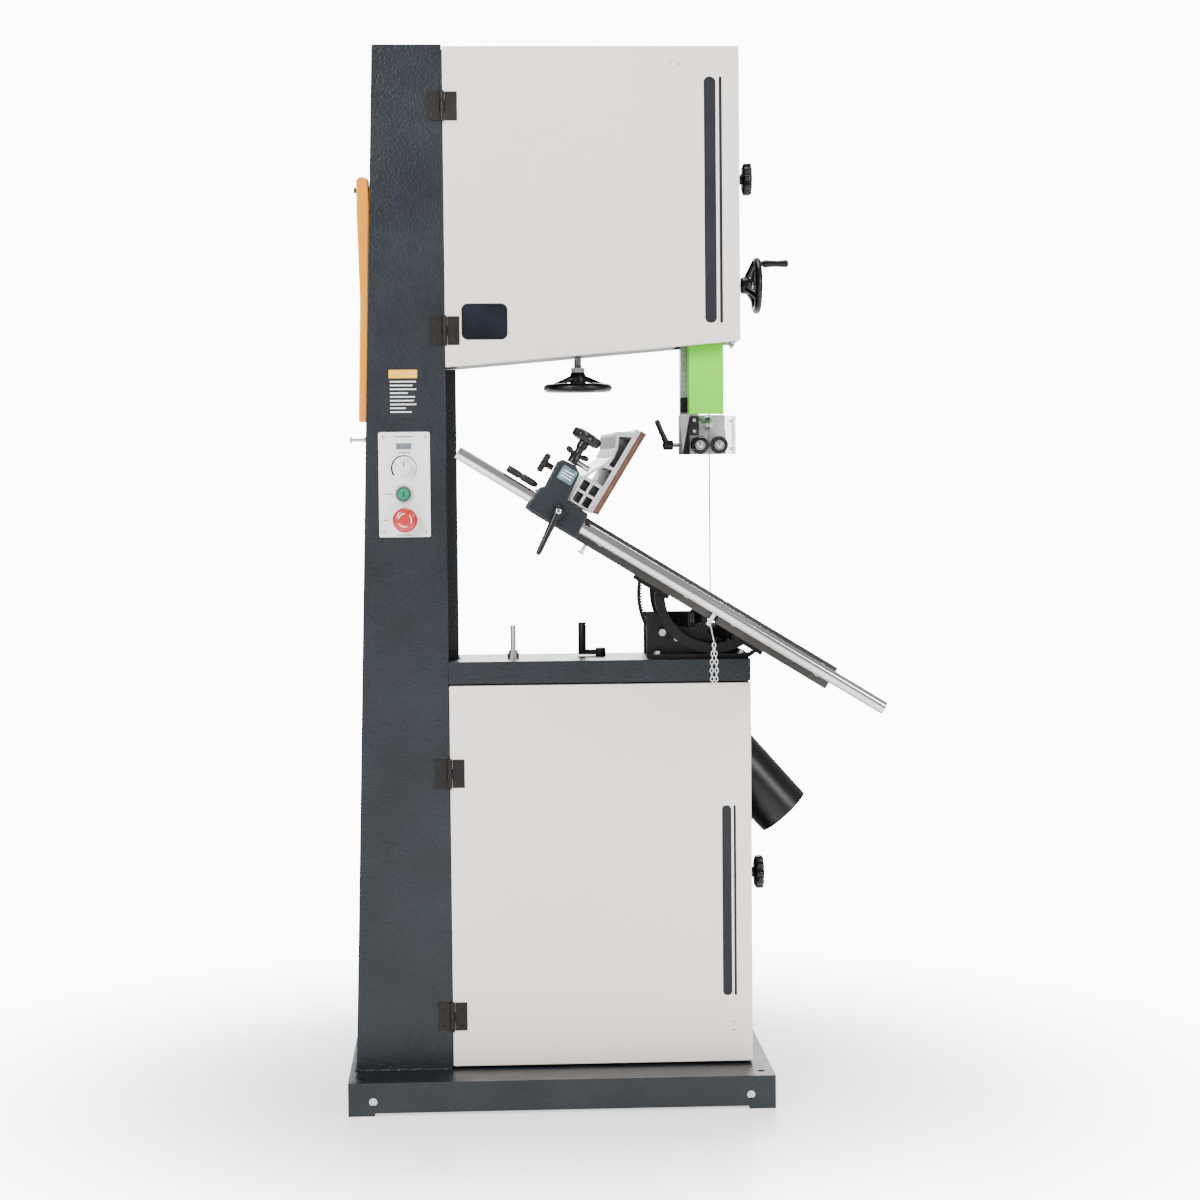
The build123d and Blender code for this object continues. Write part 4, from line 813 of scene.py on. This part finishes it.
def add_controls():
    """The control plate with its display, dial arc and three controls, and a plain data plate above it."""
    x, z = -255.5, 1060
    plates = [prism(rounded(87, 178, 3), at(x, FRONT, z), RIGHT, SKY, 3)]
    piece("control_plate", plates, "panel", "frame", 0.5, instead_of=("control_panel",))
    corners = [screw(at(x + side * 35.5, PLATE_FACE, z + lift * 81), AHEAD, 3) for side in (-1, 1)
               for lift in (-1, 1)]
    piece("control_plate_screws", corners, "zinc", "frame")
    face_plate("display_bezel", PANEL_X, 1125, rounded(32, 16, 2.5), 3, 1.8, "panel", "frame",
               0.4)
    face_plate("display_glass", PANEL_X, 1125, rounded(26, 10.5, 1), 4.8, 0.6, "lcd", "frame")
    arc = arc_band(19.5, 22.5, 214, -34, 36, 0.2)
    face_plate("speed_arc", PANEL_X, 1088, arc, 3, 0.25, "charcoal", "frame")
    ticks = []
    for k in range(7):
        angle = math.radians(214 - k * 248 / 6)
        along, beside = (math.cos(angle), math.sin(angle)), (-math.sin(angle), math.cos(angle))
        corners = [(r * along[0] + w * beside[0], r * along[1] + w * beside[1]) for r, w in
                   ((24.4, -0.4), (27, -0.4), (27, 0.4), (24.4, 0.4))]
        ticks.append(prism(corners, at(PANEL_X, PLATE_FACE, 1088), RIGHT, SKY, 0.25))
    piece("speed_ticks", ticks, "charcoal", "frame")
    knob = [(0.01, 0.2), (16, 0.2), (17, 1), (17, 2.6), (15.4, 3.4), (13, 4), (12.5, 5, 1), (12, 18.6, 1),
            (10.8, 20, 1), (0.01, 20)]
    piece("speed_knob_ribbed", [lathe(at(PANEL_X, PLATE_FACE, 1088), AHEAD, knob, 120, lobes(20, 0.05))],
          "white", "speed_knob", instead_of=("speed_knob",))
    pointer = prism(shift(rounded(1.6, 8, 0.6), 0, 6.2), at(PANEL_X, FRONT - 23, 1088), RIGHT, SKY, 0.25)
    piece("speed_pointer", [pointer], "charcoal", "speed_knob")
    bezel = [(10.4, 0.1), (14.4, 0.1), (15, 0.8), (15, 5.8), (13.4, 8), (11, 8), (10.4, 7.2), (10.4, 0.1)]
    piece("start_bezel", [lathe(at(-257, PLATE_FACE, 1044), AHEAD, bezel, 56)], "chrome", "frame")
    button = [(0.01, 4), (10, 4), (10, 9), (9, 10), (0.01, 10)]
    piece("start_button_cap", [lathe(at(-257, PLATE_FACE, 1044), AHEAD, button, 48)], "green_button",
          "start_button", instead_of=("start_button",))
    bar = prism(rounded(1.8, 9, 0.5), at(-257, FRONT - 13, 1044), RIGHT, SKY, 0.2)
    piece("start_button_bar", [bar], "charcoal", "start_button")
    collar = [(13, 0.1), (18, 0.1), (19, 1), (19, 8), (17, 11), (13.8, 11), (13, 10.4), (13, 0.1)]
    piece("stop_collar", [lathe(at(-255, PLATE_FACE, 1000), AHEAD, collar, 56)], "panel", "frame")
    dome = [(0.01, 6), (12.5, 6), (12.5, 15.4), (17, 16), (20, 16.6), (21, 19), (20.6, 23), (18, 26.2),
            (13, 27.6), (6, 28), (0.01, 28)]
    piece("stop_button_head", [lathe(at(-255, PLATE_FACE, 1000), AHEAD, dome, 72)], "red", "stop_button",
          instead_of=("stop_button",))
    arcs = [prism(arc_band(10.4, 12, 90 + 120 * k, 170 + 120 * k, 14), at(-255, FRONT - 30.2, 1000), RIGHT,
                  SKY, 0.7)
            for k in range(3)]
    piece("stop_button_arcs", arcs, "white", "stop_button")
    face_plate("data_plate", PANEL_X, 1214.5, rounded(52, 85, 2), 0, 0.8, "charcoal", "frame")
    face_plate("data_plate_header", PANEL_X, 1247, rounded(48, 14, 1), 0.8, 0.15, "amber", "frame")
    bars = [prism(rounded(width, 2.2, 0.6), at(PANEL_X - (44 - width) / 2, FRONT - 0.8, 1234 - 6.4 * row),
                  RIGHT, SKY, 0.15)
            for row, width in enumerate((44, 38, 44, 30, 42, 40, 44, 26, 36))]
    piece("data_plate_bars", bars, "panel", "frame")
    print_bars = [prism(rounded(width, 1.3, 0.4), at(px, PLATE_FACE, pz), RIGHT, SKY, 0.15)
                  for px, pz, width in ((PANEL_X, 1141, 30), (PANEL_X, 1114, 20), (-282, 1044, 12),
                                        (-287, 1000, 10), (PANEL_X, 974.5, 26))]
    piece("control_plate_print", print_bars, "charcoal", "frame")


def add_column_parts():
    """Weld beads on the base, nuts on the column's fittings, the housing bolt, and the gland."""
    def bead(start, end, radius, seed):
        steps = max(8, int((end - start).length / MM / 3))
        points, radii = [], []
        for step in range(steps + 1):
            wave = math.sin(step * 2.1 + seed) * 0.5 + math.sin(step * 0.73 + 2 * seed) * 0.5
            points.append(start.lerp(end, step / steps) + at(0, 0, 0.35 * wave))
            radii.append(radius * (1 + 0.16 * wave))
        return pipe(points, radii, 8)

    beads = [
        bead(at(-350, FRONT, WELD_LEVEL), at(-187, FRONT, WELD_LEVEL), 2.6, 0.4),
        bead(at(-350, FRONT, WELD_LEVEL), at(-350, 82, WELD_LEVEL), 2.6, 1.1),
        bead(at(-350, 82, WELD_LEVEL), at(-186, 82, WELD_LEVEL), 2.6, 1.7),
        bead(at(-184, -82, WELD_LEVEL), at(331, -82, WELD_LEVEL), 1.8, 2.3),
        bead(at(331.5, -82, WELD_LEVEL), at(331.5, 61, WELD_LEVEL), 2.2, 2.9),
        bead(at(-184, 61.5, WELD_LEVEL), at(331, 61.5, WELD_LEVEL), 2.2, 3.3),
    ]
    piece("weld_beads", beads, "slate", "frame")
    bolts = hex_head(at(308.5, -60, 1298), DOWN, 5, 5)
    piece("housing_bolt", [*bolts, lathe(at(308.5, -60, 1299), DOWN,
                                         [(0.01, 0), (3, 0), (3, 10), (0.01, 10.5)], 20)], "chrome",
          "frame")
    washers = [lathe(at(-308.4, -20, 1566), LEFT, [(0.01, 0), (8, 0), (8, 1.4), (0.01, 1.4)], 28),
               *hex_head(at(-73, -40, 765), SKY, 8, 6), *hex_head(at(-322, -20, 1137), LEFT, 5.5, 4)]
    piece("column_nuts", washers, "zinc", "frame")
    gland = [(12, 0), (13.6, 0.4, 1), (13.6, 7, 1), (12.2, 8), (11, 12), (10.6, 21.4), (6, 21.9), (5, 18),
             (0.01, 18)]
    piece("cable_gland", [lathe(at(-240, 82, 300), TOWARDS_BACK, gland, 48, lobes(8, 0.07))], "black_plastic",
          "frame")


def add_motor_parts():
    """Cooling fins, a ringed fan cowl, the terminal box lid and the motor's plate bolts."""
    fins = []
    for k in range(36):
        angle = 2 * math.pi * k / 36
        if abs(math.sin(angle) - 1) < 0.14:
            continue
        ray = Vector((math.cos(angle), 0, math.sin(angle)))
        beside = Vector((-math.sin(angle), 0, math.cos(angle)))
        origin = at(MOTOR_X, 76, MOTOR_Z) + ray * 68.5 * MM
        fins.append(prism([(0, -1), (7, -0.7), (7, 0.7), (0, 1)], origin, ray, beside,
                          -106 if ray.cross(beside).y > 0 else 106))
    piece("motor_fins", fins, "black_paint", "frame")
    cowl = [(40, 204), (62, 206.6), (71, 205), (73.6, 200), (73.6, 184), (70.5, 184)]
    grille = [ring(at(MOTOR_X, 206.4, MOTOR_Z), TOWARDS_BACK, radius, (1.4, 0.8), 56, 8)
              for radius in GRILLE_RADII]
    piece("motor_cowl", [lathe(at(MOTOR_X, 0, MOTOR_Z), TOWARDS_BACK, cowl, 64), *grille], "black_plastic",
          "frame")
    lid = prism(rounded(74, 64, 6), at(MOTOR_X, 125, MOTOR_Z + 105), RIGHT, TOWARDS_BACK, 4)
    piece("terminal_box_lid", [lid], "black_plastic", "frame", 1)
    lid_screws = [screw(at(MOTOR_X + a, 125 + b, MOTOR_Z + 109), SKY, 3) for a in (-30, 30)
                  for b in (-25, 25)]
    piece("terminal_box_screws", lid_screws, "zinc", "frame")
    plate_bolts = []
    for a in (-69, 69):
        for b in (-69, 69):
            plate_bolts += hex_head(at(MOTOR_X + a, 71, MOTOR_Z + b), TOWARDS_BACK, 6, 4.5)
    piece("motor_plate_bolts", plate_bolts, "zinc", "frame")


def add_port_parts():
    """A rolled lip at the dust port's mouth and rivets on its flange."""
    mouth = at(398, -20, 480)
    lip = ring(mouth - PORT_AXIS * 1.2 * MM, PORT_AXIS, 47.5, (1.5, 1.2), 72, 12)
    rivets = [lathe(at(336, -20 + a, 554 + b), RIGHT, [(0.01, 1.6), (2, 1.4), (3.2, 0.6), (3.6, -0.2)], 18)
              for a, b in ((-54, 78), (54, 78), (-54, -78), (54, -78))]
    piece("dust_port_trim", [lip, *rivets], "black_plastic", "frame")


def paint_regions():
    """Second materials on CAD nodes that are made of more than one stuff."""
    repaint("table", "iron_cast", lambda c, n: n.dot(TABLE_UP) < 0.9 or table_place(c)[2] < -1)
    repaint("guide_bracket", "black_plastic",
            lambda c, n: c.x < 251.2 and c.x > 234.8 and c.y < -43.8 and c.z > 1139)
    repaint("guide_bracket", "black_paint", lambda c, n: c.x < 235.2 and c.y < -8 and c.z < 1142)
    repaint("blade_cover", "black_plastic", lambda c, n: c.x < 234.1 and c.z < 1208 and c.y > -33)
    repaint("table_fittings", "aluminium", lambda c, n: abs(table_place(c)[2] + 3) < 3.6 and c.y > -70)
    repaint("frame_fittings", "black_plastic", lambda c, n: c.z > 1500 or c.y > 80)
    repaint("lower_guides", "rubber", lambda c, n: c.y < -20 and c.z > 776)


EDGES = {
    0.6: ["guide_bracket", "fence_extrusion", "fence_facing", "blade_cover", "column_hinges",
          "upper_door_leaves", "lower_door_leaves", "clear_guard", "guide_post", "lower_guides"],
    1.6: ["spine_column", "upper_housing", "lower_housing", "upper_door", "lower_door", "table",
          "belt_crank"],
    3: ["trunnion_base", "fence_carrier", "push_stick"],
}


def soften_nodes():
    """Welds each CAD node's seams and rounds its edges."""
    for width, names in EDGES.items():
        for name in names:
            weld = NODES[name].modifiers.new("seams", "WELD")
            weld.merge_threshold = SEAM
            round_edges(NODES[name], width)


dress_nodes()
paint_regions()
soften_nodes()
add_doors()
add_window_seal()
add_hinge_screws()
add_latch_knob("upper", 318, 1578, 28)
add_latch_knob("lower", 332, 380, 29)
add_tension_wheel()
add_post_wheel()
add_blade()
add_guides()
add_fence_parts()
add_chain()
add_table_parts()
add_trunnion_parts()
add_controls()
add_column_parts()
add_motor_parts()
add_port_parts()
add_camera()
add_studio()
